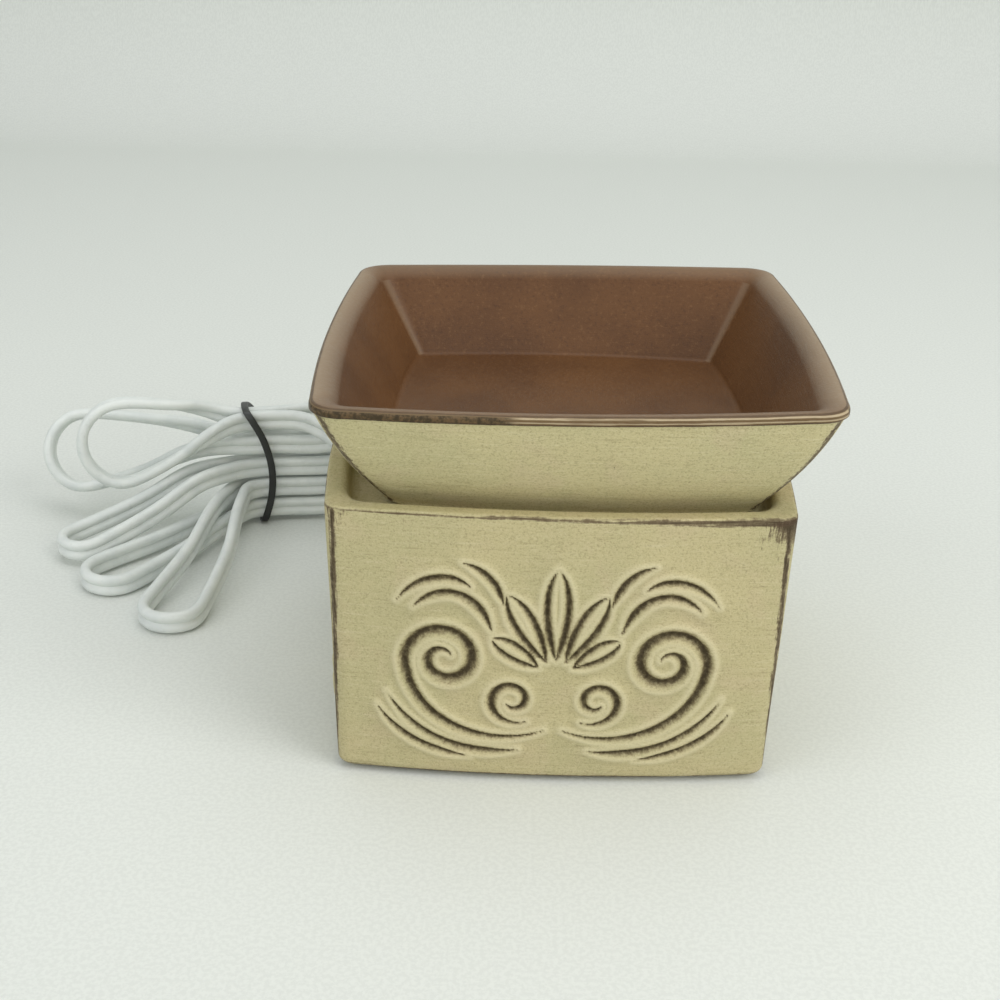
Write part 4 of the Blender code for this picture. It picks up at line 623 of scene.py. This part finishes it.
def cord_material():
    """Glossy vinyl: a little cloudy, with patches of dust."""
    s = Shader("cord_vinyl", 0.36, Specular_IOR_Level=0.5)
    clouds = s.between(s.noise(120.0, 3.0), 0.35, 0.7)
    colour = s.mix(clouds, srgb(224, 228, 223), srgb(213, 218, 214))
    dust = s.between(s.noise(420.0, 4.0, 0.65), 0.55, 0.8)
    colour = s.mix(s.math("MULTIPLY", dust, 0.22), colour, srgb(168, 172, 164))
    fine = s.noise(800.0, 3.0, 0.6)
    return s.finish(colour, s.between(fine, 0.3, 0.7, 0.30, 0.44), s.bump(fine, 0.05 * MM, 0.5))


def face_reach(x, z):
    """How far the vessel's wall lies from its middle, at a distance x along it."""
    half = body_half(z)
    return half + BODY_BOW * (1.0 - (x / half) ** 2)


def body_half(z):
    share = (z - VESSEL_BOTTOM) / (BODY_HEIGHT - VESSEL_BOTTOM)
    return part_way(BODY_BASE_HALF, BODY_TOP_HALF, share)


def relief_start():
    return face_reach(CORD_EXIT_X - BODY_SHIFT_X - RELIEF_FLANGE / 2, CORD_HEIGHT) + GAP


def make_cords():
    """The lead to the switch, and the cord from there through the hank to the plug."""
    vinyl = cord_material()
    level_x = Vector((1.0, 0.0, 0.0))
    level_y = Vector((0.0, 1.0, 0.0))
    exit_y = relief_start() + RELIEF_LENGTH
    switch_x, switch_y, _ = SWITCH_CENTRE
    mouth = SWITCH_LENGTH / 2 + CORD_WIDTH
    inside = SWITCH_CAVITY_LENGTH / 2 + GAP
    lead = [((CORD_EXIT_X, relief_start(), CORD_HEIGHT), level_x),
            ((CORD_EXIT_X, exit_y, CORD_HEIGHT), level_x),
            ((CORD_EXIT_X, exit_y + CORD_WIDTH, CORD_HEIGHT), level_x),
            ((27 * MM, 94 * MM, 5.0 * MM), level_x + UP),
            ((36 * MM, 102 * MM, 4.4 * MM), UP),
            ((50 * MM, 104.5 * MM, 4.2 * MM), UP),
            ((65 * MM, 107 * MM, 4.2 * MM), UP),
            ((75 * MM, 116 * MM, 4.8 * MM), UP),
            ((75 * MM, 127 * MM, 6.0 * MM), UP + level_y * 0.4),
            ((68 * MM, switch_y - 0.4 * MM, 7.4 * MM), level_y + UP * 0.3),
            ((switch_x + mouth, switch_y, SWITCH_MIDDLE), level_y),
            ((switch_x + inside, switch_y, SWITCH_MIDDLE), level_y)]
    piece, lead_points = lay("lead_cord", lead, 10, vinyl)
    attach(piece, "vessel")
    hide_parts("cord_lead")
    lead_cord = (piece, lead_points, path_length(lead_points))

    after = [((switch_x - inside, switch_y, SWITCH_MIDDLE), level_y),
             ((switch_x - mouth, switch_y, SWITCH_MIDDLE), level_y),
             ((switch_x - mouth - 7 * MM, switch_y - 0.8 * MM, 6.0 * MM), UP + level_y),
             (hank_start() + HANK_RIGHT * CORD_WIDTH, UP)]
    piece, hank_points = lay("hank_cord", after + list(zip(*hank_route())), 16, vinyl)
    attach(piece, "vessel")
    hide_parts("cord_switch_to_hank", "cord_hank")
    return lead_cord, (piece, hank_points, path_length(hank_points))


def path_length(points):
    return sum((b - a).length for a, b in zip(points, points[1:]))


# Ceramic

def pillow(half, bow, corner, z, sag, side_steps, corner_steps):
    """Points round a square whose sides swell outwards and sag half way along,
    with round corners."""
    reach = 1.0 - corner / half
    t = np.linspace(-reach, reach, side_steps + 1)
    x = t * half
    y = half + bow * (1 - t * t)
    drop = sag * (1 - t * t)
    s = np.arange(1, corner_steps + 1) / (corner_steps + 1)
    x0, y0 = x[-1], y[-1]
    cx = (1 - s) ** 2 * x0 + 2 * s * (1 - s) * y0 + s * s * y0
    cy = (1 - s) ** 2 * y0 + 2 * s * (1 - s) * y0 + s * s * x0
    px = np.concatenate([x, cx])
    py = np.concatenate([y, cy])
    pz = z - np.concatenate([drop, np.full(corner_steps, drop[-1])])
    ring = []
    for quarter in range(4):
        a = quarter * pi / 2
        ring.append(np.stack([px * cos(a) + py * sin(a), py * cos(a) - px * sin(a), pz], -1))
    return np.concatenate(ring)


def bend(p0, p1, p2, p3, steps=60):
    """Points on a curve drawn by four control points."""
    t = np.linspace(0, 1, steps)[:, None]
    p0, p1, p2, p3 = (np.array(p, dtype=float) for p in (p0, p1, p2, p3))
    return (1 - t) ** 3 * p0 + 3 * (1 - t) ** 2 * t * p1 + 3 * (1 - t) * t * t * p2 + t ** 3 * p3


def spiral(centre, outer, inner, start, end, steps=90):
    """Points on a spiral that closes in from one angle to the other."""
    t = np.linspace(0, 1, steps)
    angle = np.radians(start + (end - start) * t)
    radius = outer + (inner - outer) * t ** 0.85
    return np.stack([centre[0] + radius * np.cos(angle), centre[1] + radius * np.sin(angle)], -1)


def leaf(angle, length, wide):
    """The two strokes that outline one leaf of the palmette."""
    out = np.array((cos(radians(angle)), sin(radians(angle))))
    aside = np.array((-out[1], out[0]))
    foot = np.array((0.0, PALMETTE_ROOT)) + out * LEAF_ROOT
    tip = foot + out * length
    return [bend(foot, foot + out * 0.25 * length + aside * way * wide * 0.75,
                 foot + out * 0.75 * length + aside * way * wide * 1.5, tip)
            for way in (-1, 1)]


def tapered(points, widest):
    """Half widths along a stroke that swells and thins to fine ends."""
    t = np.linspace(0, 1, len(points))
    rise = np.sin(np.clip(t / 0.30, 0, 1) * pi / 2)
    fall = np.sin(np.clip((1 - t) / 0.36, 0, 1) * pi / 2)
    swell = 1.0 + 0.12 * np.sin(5.0 * t + widest * 7.0)
    return widest * (0.22 + 0.78 * rise) * (0.16 + 0.84 * fall) * swell


def ornament():
    """A palmette between paired scrolls, in mm from the middle of a face,
    as points with half widths."""
    stem = bend((2.5, -20.5), (16, -27), (37, -20), (37.5, -1))
    volute = spiral((27.5, -1), 10, 2.2, 0, 500)
    half = [(np.concatenate([stem, volute[1:]]), 1.45),
            (spiral((10.5, -12), 7, 1.6, -120, 330), 1.1),
            (bend((9, -26.5), (22, -29), (36, -24), (42, -11)), 1.0),
            (bend((21, -29), (31, -28), (40, -24), (44.5, -15)), 0.8),
            (bend((16, 8), (19, 18), (28, 21), (35, 13.5)), 1.15),
            (bend((21, 19.5), (26, 23.5), (34, 22), (39, 15)), 0.85),
            (bend((13, 15), (14.5, 21), (18, 24.5), (23, 26)), 0.85)]
    half += [(stroke, 0.85) for stroke in leaf(62, 21, 2.7)]
    half += [(stroke, 0.75) for stroke in leaf(34, 14, 2.2)]
    strokes = [(stroke, tapered(stroke, 0.9)) for stroke in leaf(90, 25, 3.0)]
    for points, widest in half:
        widths = tapered(points, widest)
        strokes.append((points, widths))
        strokes.append((points * np.array((-1.0, 1.0)), widths))
    return strokes


def carving(u, v):
    """Relief height in metres, the share of brown in the grooves, with its dark core laid as
    painted shade on their upper walls, and the share of painted highlight along their shoulders, at
    each point given in millimetres from the middle of a face."""
    strokes = ornament()
    samples, widths = (np.concatenate(part) for part in zip(*strokes))
    flat_u = u.reshape(-1)
    flat_v = v.reshape(-1)
    near = np.full(flat_u.shape, 99.0)
    wide = np.ones(flat_u.shape)
    shaded = np.full(flat_u.shape, 99.0)
    for x, y, w in zip(samples[:, 0], samples[:, 1], widths):
        d = np.hypot(flat_u - x, flat_v - y)
        better = d - w < near - wide
        near = np.where(better, d, near)
        wide = np.where(better, w, wide)
        # Distances from a point a little up and left of each stroke, so the dark core lies on the
        # groove's upper wall: painted shade where that wall would hide from the light above.
        shaded = np.minimum(shaded, np.hypot(flat_u - x + 0.12 * w, flat_v - y - 0.24 * w) / w)
    groove = -1.05 * np.clip(1 - (near / wide) ** 2, 0, 1) ** 1.2 * (wide / 1.3) ** 0.7
    shoulder = 0.42 * bell(near - 1.6 * wide - 0.25, 0.8)
    bed = 0.30 * np.clip((7.0 - near) / 5.0, 0, 1) ** 2
    wash_and_shade = np.clip((1.5 - shaded) / 1.15, 0, 1)
    # The pale band just outside each groove, a painted highlight.
    shoulder_highlight = bell(near - 1.5 * wide - 0.4, 0.7)
    return [field.reshape(u.shape) for field in ((groove + shoulder + bed) * MM, wash_and_shade, shoulder_highlight)]


def corner_distance(points, half):
    """How far each point lies from the nearest corner of the square."""
    return np.hypot(half - np.abs(points[..., 0]), half - np.abs(points[..., 1]))


def bell(distance, width):
    """1 at no distance, and smoothly less away from there."""
    return np.exp(-(distance / width) ** 2)


def part_way(low, high, share):
    return low + (high - low) * share


def quarter_turn(steps):
    """Angles from 0 to a right angle, for a rounding."""
    return [pi / 2 * i / steps for i in range(steps + 1)]


def vessel_sections():
    """The vessel's wall as inset, height, corner radius and kind, from the
    hollow foot round the outside and the rim down to the chamber's floor."""
    sections = []

    def row(inset, z, corner, kind="plain"):
        sections.append((inset, z, corner, kind))

    for z in np.linspace(FLOOR_UNDER, VESSEL_BOTTOM + 0.8 * MM, 8):
        row(FOOT_WALL, z, CHAMBER_CORNER)
    row(FOOT_WALL - 0.2 * MM, VESSEL_BOTTOM + 0.25 * MM, 6.8 * MM)
    row(FOOT_WALL - 0.8 * MM, VESSEL_BOTTOM, 6.4 * MM)
    row(0.9 * FOOT_EDGE, VESSEL_BOTTOM, BODY_CORNER)
    for a in quarter_turn(8):
        row(0.85 * FOOT_EDGE * (1 - sin(a)), VESSEL_BOTTOM + FOOT_EDGE * (1 - cos(a)),
            BODY_CORNER, "foot")
    top = BODY_HEIGHT - RIM_ROUND
    for z in np.linspace(VESSEL_BOTTOM + FOOT_EDGE, top, CARVED_ROWS)[1:-1]:
        row(0.0, z, BODY_CORNER, "carved")
    for i, a in enumerate(quarter_turn(6)):
        row(0.9 * RIM_ROUND * (1 - cos(a)), top + RIM_ROUND * sin(a),
            BODY_CORNER * (1 + 0.06 * i), "rim")
    for i, a in enumerate(quarter_turn(8)):
        row(RIM_WALL - RIM_ROUND_INSIDE * (1 - sin(a)),
            BODY_HEIGHT - RIM_ROUND_INSIDE * (1 - cos(a)), (1.6 + 0.06 * i) * BODY_CORNER, "rim")
    row(RIM_WALL + 0.2 * MM, LEDGE_TOP + 0.8 * MM, 2.1 * BODY_CORNER)
    row(RIM_WALL + 0.9 * MM, LEDGE_TOP, 2.1 * BODY_CORNER)
    for share in (0.25, 0.5, 0.75):
        row(part_way(RIM_WALL, LEDGE_WIDTH, share), LEDGE_TOP, 8.0 * MM)
    row(LEDGE_WIDTH - 0.6 * MM, LEDGE_TOP, MOUTH_CORNER)
    row(LEDGE_WIDTH, LEDGE_TOP - 0.7 * MM, MOUTH_CORNER)
    ledge_under = LEDGE_TOP - LEDGE_THICK
    for share in (0.0, 0.25, 0.5, 0.75, 1.0):
        row(part_way(LEDGE_WIDTH, CHAMBER_WALL, share), ledge_under - LEDGE_SLOPE * share,
            part_way(MOUTH_CORNER, CHAMBER_CORNER, share))
    for z in np.linspace(ledge_under - LEDGE_SLOPE, FLOOR_TOP + 3.0 * MM, 14)[1:]:
        row(CHAMBER_WALL, z, CHAMBER_CORNER)
    row(CHAMBER_WALL + 0.8 * MM, FLOOR_TOP + 0.9 * MM, CHAMBER_CORNER)
    row(CHAMBER_WALL + 3.0 * MM, FLOOR_TOP, CHAMBER_CORNER)
    return sections


def vessel_wear_and_shade(rings, worn):
    """Shares of brown on the upright edges and the rim's corners, and along
    the rim and the foot, where the surface is worn; the foot's line is partly painted shade on its
    lower rounding. Both grow to the right."""
    x, y, z = (rings[..., axis] for axis in range(3))
    right = np.clip((x + 10 * MM) / (60 * MM), 0, 1)
    rise = np.clip(z / BODY_HEIGHT, 0, 1)
    below = BODY_HEIGHT - z
    beside = BODY_TOP_HALF - np.abs(x) - (0.6 + 1.2 * rise) * MM
    on_front = np.abs(y) > np.abs(x) - 3 * MM
    beside = np.where(on_front, beside, 9.0 * MM)
    upright = bell(beside, (0.70 + 0.30 * rise ** 2) * MM) * 1.12
    to_corner = corner_distance(rings, BODY_TOP_HALF + 0.6 * MM)
    to_corner = to_corner - to_corner.min(axis=1, keepdims=True)
    patch = bell(np.hypot(to_corner / (5.6 * MM), below / (7.5 * MM)), 1.0)
    edge = np.maximum(upright, patch * (0.40 + 0.92 * right))
    edge = edge * np.clip((below - 0.4 * MM) / (0.7 * MM), 0, 1)
    thick = (0.50 + 0.78 * right) * MM
    rim = bell(below - 0.30 * MM - 0.7 * thick, thick) * (0.76 + 0.30 * right)
    # A brown line along the foot: partly wear, partly painted shade on the foot's lower rounding.
    foot = bell(z - VESSEL_BOTTOM - 0.6 * MM, 0.8 * MM) * 0.82
    return np.where(worn, edge, 0.0), np.where(worn, np.maximum(rim, foot), 0.0)


def make_vessel():
    side_steps, corner_steps = 232, 8
    sections = vessel_sections()
    rings = np.array([pillow(body_half(z) - inset, BODY_BOW, corner, z, 0.0, side_steps,
                             corner_steps) for inset, z, corner, kind in sections])
    kinds = [section[3] for section in sections]
    rows = slice(kinds.index("carved"), kinds.index("carved") + kinds.count("carved"))
    reach = BODY_TOP_HALF - BODY_CORNER
    along = np.linspace(-reach, reach, side_steps + 1)
    heights = rings[rows, 0, 2]
    u = np.tile(along / MM, (len(heights), 1))
    v = np.repeat((heights[:, None] - CARVING_MIDDLE) / MM, len(along), axis=1)
    height, wash_and_shade, shoulder_highlight = carving(u, v)
    groove_wash_and_shade = np.zeros(rings.shape[:2])
    shoulder_highlight_field = np.zeros(rings.shape[:2])
    steps = side_steps + 1 + corner_steps
    for quarter in range(4):
        a = quarter * pi / 2
        out = np.array((sin(a), cos(a), 0.0))
        span = slice(quarter * steps, quarter * steps + side_steps + 1)
        rings[rows, span] += height[..., None] * out
        groove_wash_and_shade[rows, span] = wash_and_shade
        shoulder_highlight_field[rows, span] = shoulder_highlight
    worn = np.array([kind in ("carved", "foot") or kind == "rim" and inset <= 2.0 * MM
                     for inset, z, corner, kind in sections])[:, None]
    edge, band = vessel_wear_and_shade(rings, worn)
    rings = uneven(rings, 0.16 * MM, 22.0)
    rings[..., 0] += BODY_SHIFT_X
    turn = np.arctan2(rings[-1, :, 1], rings[-1, :, 0] - BODY_SHIFT_X)
    hole = [np.stack([BODY_SHIFT_X + radius * np.cos(turn), radius * np.sin(turn),
                      np.full(turn.shape, z)], -1)
            for radius, z in ((2.4 * SOCKET_HOLE, FLOOR_TOP), (SOCKET_HOLE, FLOOR_TOP),
                              (SOCKET_HOLE, FLOOR_UNDER), (2.4 * SOCKET_HOLE, FLOOR_UNDER))]
    rings = np.concatenate([rings, np.array(hole)])
    blank = np.zeros((len(hole), rings.shape[1]))
    fields = {name: np.concatenate([field, blank]) for name, field in
              (("groove", groove_wash_and_shade), ("shoulder_highlight", shoulder_highlight_field), ("edge", edge), ("band", band))}
    vessel = skin_object("ceramic_vessel", rings, ceramic("cream_brushed_glaze"), cycle=True,
                         fields=fields)
    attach(vessel, "vessel")
    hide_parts("base_vessel")


def uneven(rings, depth, scale):
    """Small slow swells, as cast and hand-finished clay has."""
    moved = rings.copy()
    for point in moved.reshape(-1, 3):
        x, y, z = point
        push = noise.noise(Vector((x * scale, y * scale, z * scale * 1.6)))
        point[:2] += depth * push * point[:2] / (sqrt(x * x + y * y) + 1e-9)
    return moved


def dish_sections():
    """The dish as rows of half width, height, bow, corner radius, share of the
    sag, brown and lip, the last a painted sheen, from the middle of its underside to that of its
    floor."""
    band_bottom = DISH_TOP - DISH_BAND
    recess_half = DISH_BASE_HALF - DISH_FOOT_RING
    lip_half = DISH_RIM_HALF - DISH_EDGE
    sections = []

    def row(half, z, bow=DISH_RIM_BOW, corner=DISH_CORNER, sag=1.0, brown=0.0, lip=0.0):
        sections.append((half, z, bow, corner, sag, brown, lip))

    under = DISH_BOTTOM + DISH_FOOT_RECESS
    for share in (0.03, 0.25, 0.5, 0.75, 0.93):
        row(recess_half * share, under, DISH_BASE_BOW * share, DISH_RECESS_CORNER * share, 0)
    for half, z in ((recess_half - 1.2 * MM, under), (recess_half - 0.3 * MM, under - 0.6 * MM),
                    (recess_half, DISH_BOTTOM + 0.6 * MM), (recess_half + 0.6 * MM, DISH_BOTTOM)):
        row(half, z, DISH_BASE_BOW, DISH_RECESS_CORNER, 0)
    for share in (0.25, 0.5, 0.75):
        row(recess_half + share * (DISH_FOOT_RING - DISH_FOOT_ROUND), DISH_BOTTOM,
            DISH_BASE_BOW, DISH_CORNER, 0)
    for a in quarter_turn(5):
        row(DISH_BASE_HALF - DISH_FOOT_ROUND + 2.0 * MM * sin(a),
            DISH_BOTTOM + DISH_FOOT_ROUND * (1 - cos(a)), DISH_BASE_BOW, DISH_CORNER, 0)
    low = (DISH_BASE_HALF + 0.4 * MM, DISH_BOTTOM + DISH_FOOT_ROUND)
    high = (DISH_RIM_HALF - 0.7 * MM, band_bottom - 0.5 * MM)
    for share in np.linspace(0, 1, 62)[1:]:
        swell = 4 * DISH_BULGE * share * (1 - share)
        row(part_way(low[0], high[0], share) + swell, part_way(low[1], high[1], share),
            part_way(DISH_BASE_BOW, DISH_RIM_BOW, share), DISH_CORNER, share)
    row(DISH_RIM_HALF - 0.25 * MM, band_bottom, brown=0.35)
    band_bottom += 0.3 * MM
    for share in (0.0, 0.33, 0.67, 1.0):
        row(DISH_RIM_HALF, part_way(band_bottom, DISH_TOP - DISH_EDGE, share),
            brown=0.8 + 0.2 * share)
    # lip here and below: painted sheen on the rounded lip and the top of the inner wall.
    for i, a in enumerate(quarter_turn(6)[1:], 1):
        row(lip_half + DISH_EDGE * cos(a), DISH_TOP - DISH_EDGE * (1 - sin(a)), brown=1.0,
            lip=0.15 + 0.1 * i)
    reach = lip_half - DISH_FLOOR_HALF - 0.8 * MM
    drop = DISH_TOP - DISH_LIP - DISH_FLOOR_TOP - 1.2 * MM
    turn = pi / 2 + np.arctan2(drop, reach) - np.arccos(DISH_LIP / np.hypot(reach, drop))
    inner_corner = 0.65 * DISH_CORNER
    for share in np.linspace(0, 1, 19)[1:]:
        row(lip_half - DISH_LIP * sin(turn * share), DISH_TOP - DISH_LIP * (1 - cos(turn * share)),
            corner=part_way(DISH_CORNER, inner_corner, share), brown=1.0,
            lip=0.78 * (1 - share) ** 0.8)
    low = (lip_half - DISH_LIP * sin(turn), DISH_TOP - DISH_LIP * (1 - cos(turn)))
    high = (DISH_FLOOR_HALF + 0.8 * MM, DISH_FLOOR_TOP + 1.2 * MM)
    for share in np.linspace(0, 1, 36)[1:]:
        row(part_way(low[0], high[0], share), part_way(low[1], high[1], share),
            part_way(DISH_RIM_BOW, DISH_BASE_BOW, share),
            part_way(inner_corner, DISH_CREASE, share), 1 - share, 1.0)
    floor_half = DISH_FLOOR_HALF - 0.9 * MM
    for i in range(1, 8):
        a = (1 - i / 7) * turn
        row(floor_half + 2.0 * MM * sin(a), DISH_FLOOR_TOP + 2.0 * MM * (1 - cos(a)),
            DISH_BASE_BOW, DISH_CREASE, 0, 1.0)
    for share in (0.985, 0.94, 0.85, 0.7, 0.55, 0.4, 0.25, 0.12, 0.02):
        row(floor_half * share, DISH_FLOOR_TOP, DISH_BASE_BOW * share, DISH_CREASE * share, 0, 1.0)
    return sections


def make_dish():
    side_steps, corner_steps = 150, 12
    inner_rows = 60
    sections = dish_sections()
    rings = np.array([pillow(half, bow, corner, z, sag * DISH_SAG, side_steps, corner_steps)
                      for half, z, bow, corner, sag, brown, lip in sections])
    halves, brown, lip = (np.repeat(np.array([s[k] for s in sections])[:, None], rings.shape[1],
                                    axis=1) for k in (0, 5, 6))
    z = rings[..., 2].copy()
    sag = np.array([s[4] for s in sections])[:, None]
    rings[..., 2] += sag * DISH_LEAN * rings[..., 0] / DISH_RIM_HALF
    profile = np.array([s[:2] for s in sections])
    run = np.append(0.0, np.cumsum(np.hypot(*np.diff(profile, axis=0).T))) / MM
    rim_row = int(np.argmax(profile[:, 1] >= DISH_TOP - DISH_BAND))
    along = np.repeat((run - run[rim_row])[:, None], rings.shape[1], axis=1)
    corner = corner_distance(rings, halves)
    corner = corner - corner.min(axis=1, keepdims=True)
    outside = (np.arange(len(sections)) < len(sections) - inner_rows)[:, None] & (brown < 0.9)
    edge = np.where(outside, 0.92 * bell(corner, 0.7 * MM) * (z > DISH_BOTTOM + MM), 0.0)
    # A brown line round the dish's foot, partly painted shadow under the dish where it sits on the
    # ledge.
    band = np.where(outside, 0.85 * bell(z - DISH_BOTTOM - 0.5 * MM, 0.7 * MM), 0.0)
    x = np.abs(rings[..., 0])
    y = np.abs(rings[..., 1])
    front = (rings[..., 1] < 0) & (y > x * 0.96)
    scratch = np.where(front, np.clip((rings[..., 0] + 28 * MM) / (16 * MM), 0, 1) * 0.42 - 0.10,
                       0.12)
    sideways = np.clip((x - y) / (20 * MM) + 0.55, 0.45, 1)
    # Painted highlight along the inner wall's corners; the lip's painted sheen is strongest on the
    # left and right sides.
    crease_highlight = 0.26 * bell(corner, 0.6 * MM) * (halves > DISH_FLOOR_HALF)
    lip = np.maximum(lip * sideways, np.where((brown == 1.0) & (lip == 0), crease_highlight, 0.0))
    blank = np.zeros(rings.shape[:2])
    rings = uneven(rings, 0.14 * MM, 20.0)
    dish = skin_object("ceramic_dish", rings, ceramic("two_tone_glaze", brown_inside), cap=True,
                       fields={"groove": blank, "shoulder_highlight": blank, "edge": edge, "band": band,
                               "brown": brown, "lip": lip, "scratch": scratch,
                               "along": along})
    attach(dish, "dish")
    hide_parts("wax_dish")


def dress(material, *names):
    """Give solids that keep their own shape a finished surface."""
    for name in names:
        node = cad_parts[name]
        if node.material_slots:
            for place in node.material_slots:
                place.material = material
        else:
            node.data.materials.append(material)


def make_tie():
    """The black tie, a thin band that slips along the strands half way up."""
    spare = 0.45 * MM
    half_wide = COLUMN_HALF / cos(radians(LEFT_LOOPS[1][4])) + CORD_THICK / 2 + spare
    low = FIRST_ROW - CORD_WIDTH / 2 - spare - TIE_THICK / 2
    high = row_height(LEFT_LOOPS[-1][0]) + CORD_WIDTH / 2 + spare + TIE_THICK / 2
    side = half_wide + TIE_THICK / 2
    round_off = 2.0 * MM
    middle = (low + high) / 2
    front_side = [(-side, part_way(high, low, share)) for share in (0.25, 0.5, 0.75)]
    back_side = [(side, part_way(low, high, share)) for share in (0.25, 0.5)]
    outline = [(side + 7 * MM, high - 5 * MM), (side + 3 * MM, high - 2 * MM),
               (side - round_off, high), (-side + round_off, high), (-side, high - round_off),
               *front_side, (-side, low + round_off), (-side + round_off, low),
               (side - round_off, low), (side, low + round_off), *back_side,
               (side, high - 11 * MM), (side + 2 * MM, high - 7.5 * MM),
               (side + 8 * MM, high - 9 * MM)]
    points = []
    last = len(outline) - 1
    for i, (back, z) in enumerate(outline):
        level = (z - middle) / (high - middle)
        slip = TIE_BULGE * (1 - level ** 2) - TIE_LEAN * level - 2.0 * MM
        shift = (TIE_WIDTH + 0.4 * MM) * (i / last - 0.5)
        points.append(hank_point(slip + shift, -back, z))
    points, wides = smooth_route(points, [HANK_RIGHT] * len(points), 0.8 * MM)
    points, wides = relaxed(points, wides, 3)
    section = []
    for i in range(20):
        a = 2 * pi * i / 20
        section.append((TIE_WIDTH / 2 * np.sign(cos(a)) * abs(cos(a)) ** 0.5,
                        TIE_THICK / 2 * np.sign(sin(a)) * abs(sin(a)) ** 0.8))
    black = plain_material("tie_black", srgb(28, 29, 28), srgb(44, 46, 44), 0.42, 900.0)
    tie = sweep("twist_tie", points, wides, section, black)
    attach(tie, "vessel")
    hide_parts("hank_tie")
    return tie


def make_small_parts():
    """Surfaces of the pieces that keep the shape of their solids."""
    white = plain_material("white_moulded", srgb(214, 218, 213), srgb(202, 206, 200), 0.42,
                           Specular_IOR_Level=0.45)
    dark = plain_material("dark_phenolic", srgb(38, 34, 31), srgb(54, 47, 42), 0.4)
    rubber = plain_material("grey_rubber", srgb(96, 96, 92), srgb(78, 78, 75), 0.82, 500.0,
                            0.12 * MM)
    bright = plain_material("tinned_steel", srgb(196, 197, 194), srgb(168, 168, 164), 0.28, 900.0,
                            0.02 * MM, 1.0)
    yellow = plain_material("rolled_brass", srgb(214, 178, 104), srgb(180, 142, 78), 0.26, 900.0,
                            0.02 * MM, 1.0)
    glass = glass_material("lamp_glass")
    dress(white, "cord_strain_relief", "switch_lower_case", "switch_upper_case", "switch_wheel",
          "plug_body", "supply_cord_inside")
    dress(dark, "socket_shell", "socket_ring_nut", "bulb_insulator")
    dress(rubber, "socket_gasket", "foot_pad_front_left", "foot_pad_front_right",
          "foot_pad_back_left", "foot_pad_back_right")
    dress(yellow, "socket_screw_shell", "socket_center_contact", "bulb_screw_shell",
          "plug_blade_narrow", "plug_blade_wide", "switch_contact_in", "switch_contact_out")
    dress(bright, "bulb_foot_contact", "bulb_lead_left", "bulb_lead_right", "bulb_filament",
          "switch_axle_pin", "switch_screw_1", "switch_screw_2")
    dress(glass, "bulb_glass", "bulb_stem")


# Floor, backdrop and light

ROOM_COLOUR = (0.93, 0.97, 1.0, 1.0)
ROOM_LIGHTS = 0.42
ROOM_SHOWS = 0.74


def stage_material(name, colour, shade, grain):
    s = Shader(name, 0.85)
    weave = s.noise(grain, 3.0, 0.6, s.stretched(1.0, 1.0, 0.3))
    tint = s.mix(s.between(weave, 0.4, 0.6), colour, shade)
    return s.finish(tint, None, s.bump(weave, 0.12 * MM, 0.35))


def make_stage():
    """Paper that lies on the table and bends up behind, far enough to see round the warmer."""
    front, back, top = -3.0, 0.75, 2.2
    wide = 3.0
    radius = 0.12
    steps = 16
    outline = [(front, 0.0), (back, 0.0)]
    for a in quarter_turn(steps)[1:]:
        outline.append((back + radius * sin(a), radius * (1 - cos(a))))
    outline.append((back + radius, top))
    bm = bmesh.new()
    left = [bm.verts.new((-wide, y, z)) for y, z in outline]
    right = [bm.verts.new((wide, y, z)) for y, z in outline]
    for i in range(len(outline) - 1):
        bm.faces.new((left[i], right[i], right[i + 1], left[i + 1]))
    mesh = bpy.data.meshes.new("studio_floor")
    bm.to_mesh(mesh)
    bm.free()
    mesh.shade_smooth()
    obj = link("studio_floor", mesh, stage_material("studio_paper", srgb(222, 225, 219),
                                                    srgb(216, 219, 213), 900.0))


def area_light(name, place, target, size, watts, colour=(1.0, 1.0, 1.0)):
    data = bpy.data.lights.new(name, "AREA")
    data.shape = "DISK"
    data.size = size
    data.energy = watts
    data.color = colour
    light = bpy.data.objects.new(name, data)
    bpy.context.collection.objects.link(light)
    light.location = place
    aim = Vector(target) - Vector(place)
    light.rotation_euler = aim.to_track_quat("-Z", "Y").to_euler()


def make_light():
    world = bpy.data.worlds.new("studio")
    bpy.context.scene.world = world
    world.use_nodes = True
    nodes = world.node_tree.nodes
    link_nodes = world.node_tree.links.new
    background = nodes["Background"]
    background.inputs["Color"].default_value = ROOM_COLOUR
    # the eye, reflections and glass see a pale room, which lights less than it shows
    seen = nodes.new("ShaderNodeLightPath")
    either = seen.outputs["Is Camera Ray"]
    for kind in ("Is Glossy Ray", "Is Transmission Ray"):
        most = nodes.new("ShaderNodeMath")
        most.operation = "MAXIMUM"
        link_nodes(either, most.inputs[0])
        link_nodes(seen.outputs[kind], most.inputs[1])
        either = most.outputs[0]
    level = nodes.new("ShaderNodeMapRange")
    level.inputs["To Min"].default_value = ROOM_LIGHTS
    level.inputs["To Max"].default_value = ROOM_SHOWS
    link_nodes(either, level.inputs["Value"])
    link_nodes(level.outputs["Result"], background.inputs["Strength"])
    area_light("key", (0.85, -0.60, 0.85), (0.0, 0.0, 0.03), 0.9, 8.4, (1.0, 0.985, 0.96))
    area_light("fill", (-0.85, -0.60, 0.80), (0.0, 0.0, 0.05), 1.0, 3.5)
    area_light("top", (0.0, 0.12, 1.3), (0.0, 0.10, 0.0), 1.2, 4.4)
    area_light("front", (0.12, -1.20, 0.50), (0.0, 0.0, 0.06), 0.8, 2.5)


make_camera()
lead_cord, hank_cord = make_cords()
hank_band = make_tie()
make_vessel()
make_dish()
make_small_parts()
make_stage()
make_light()
bpy.context.scene.view_settings.view_transform = "Standard"
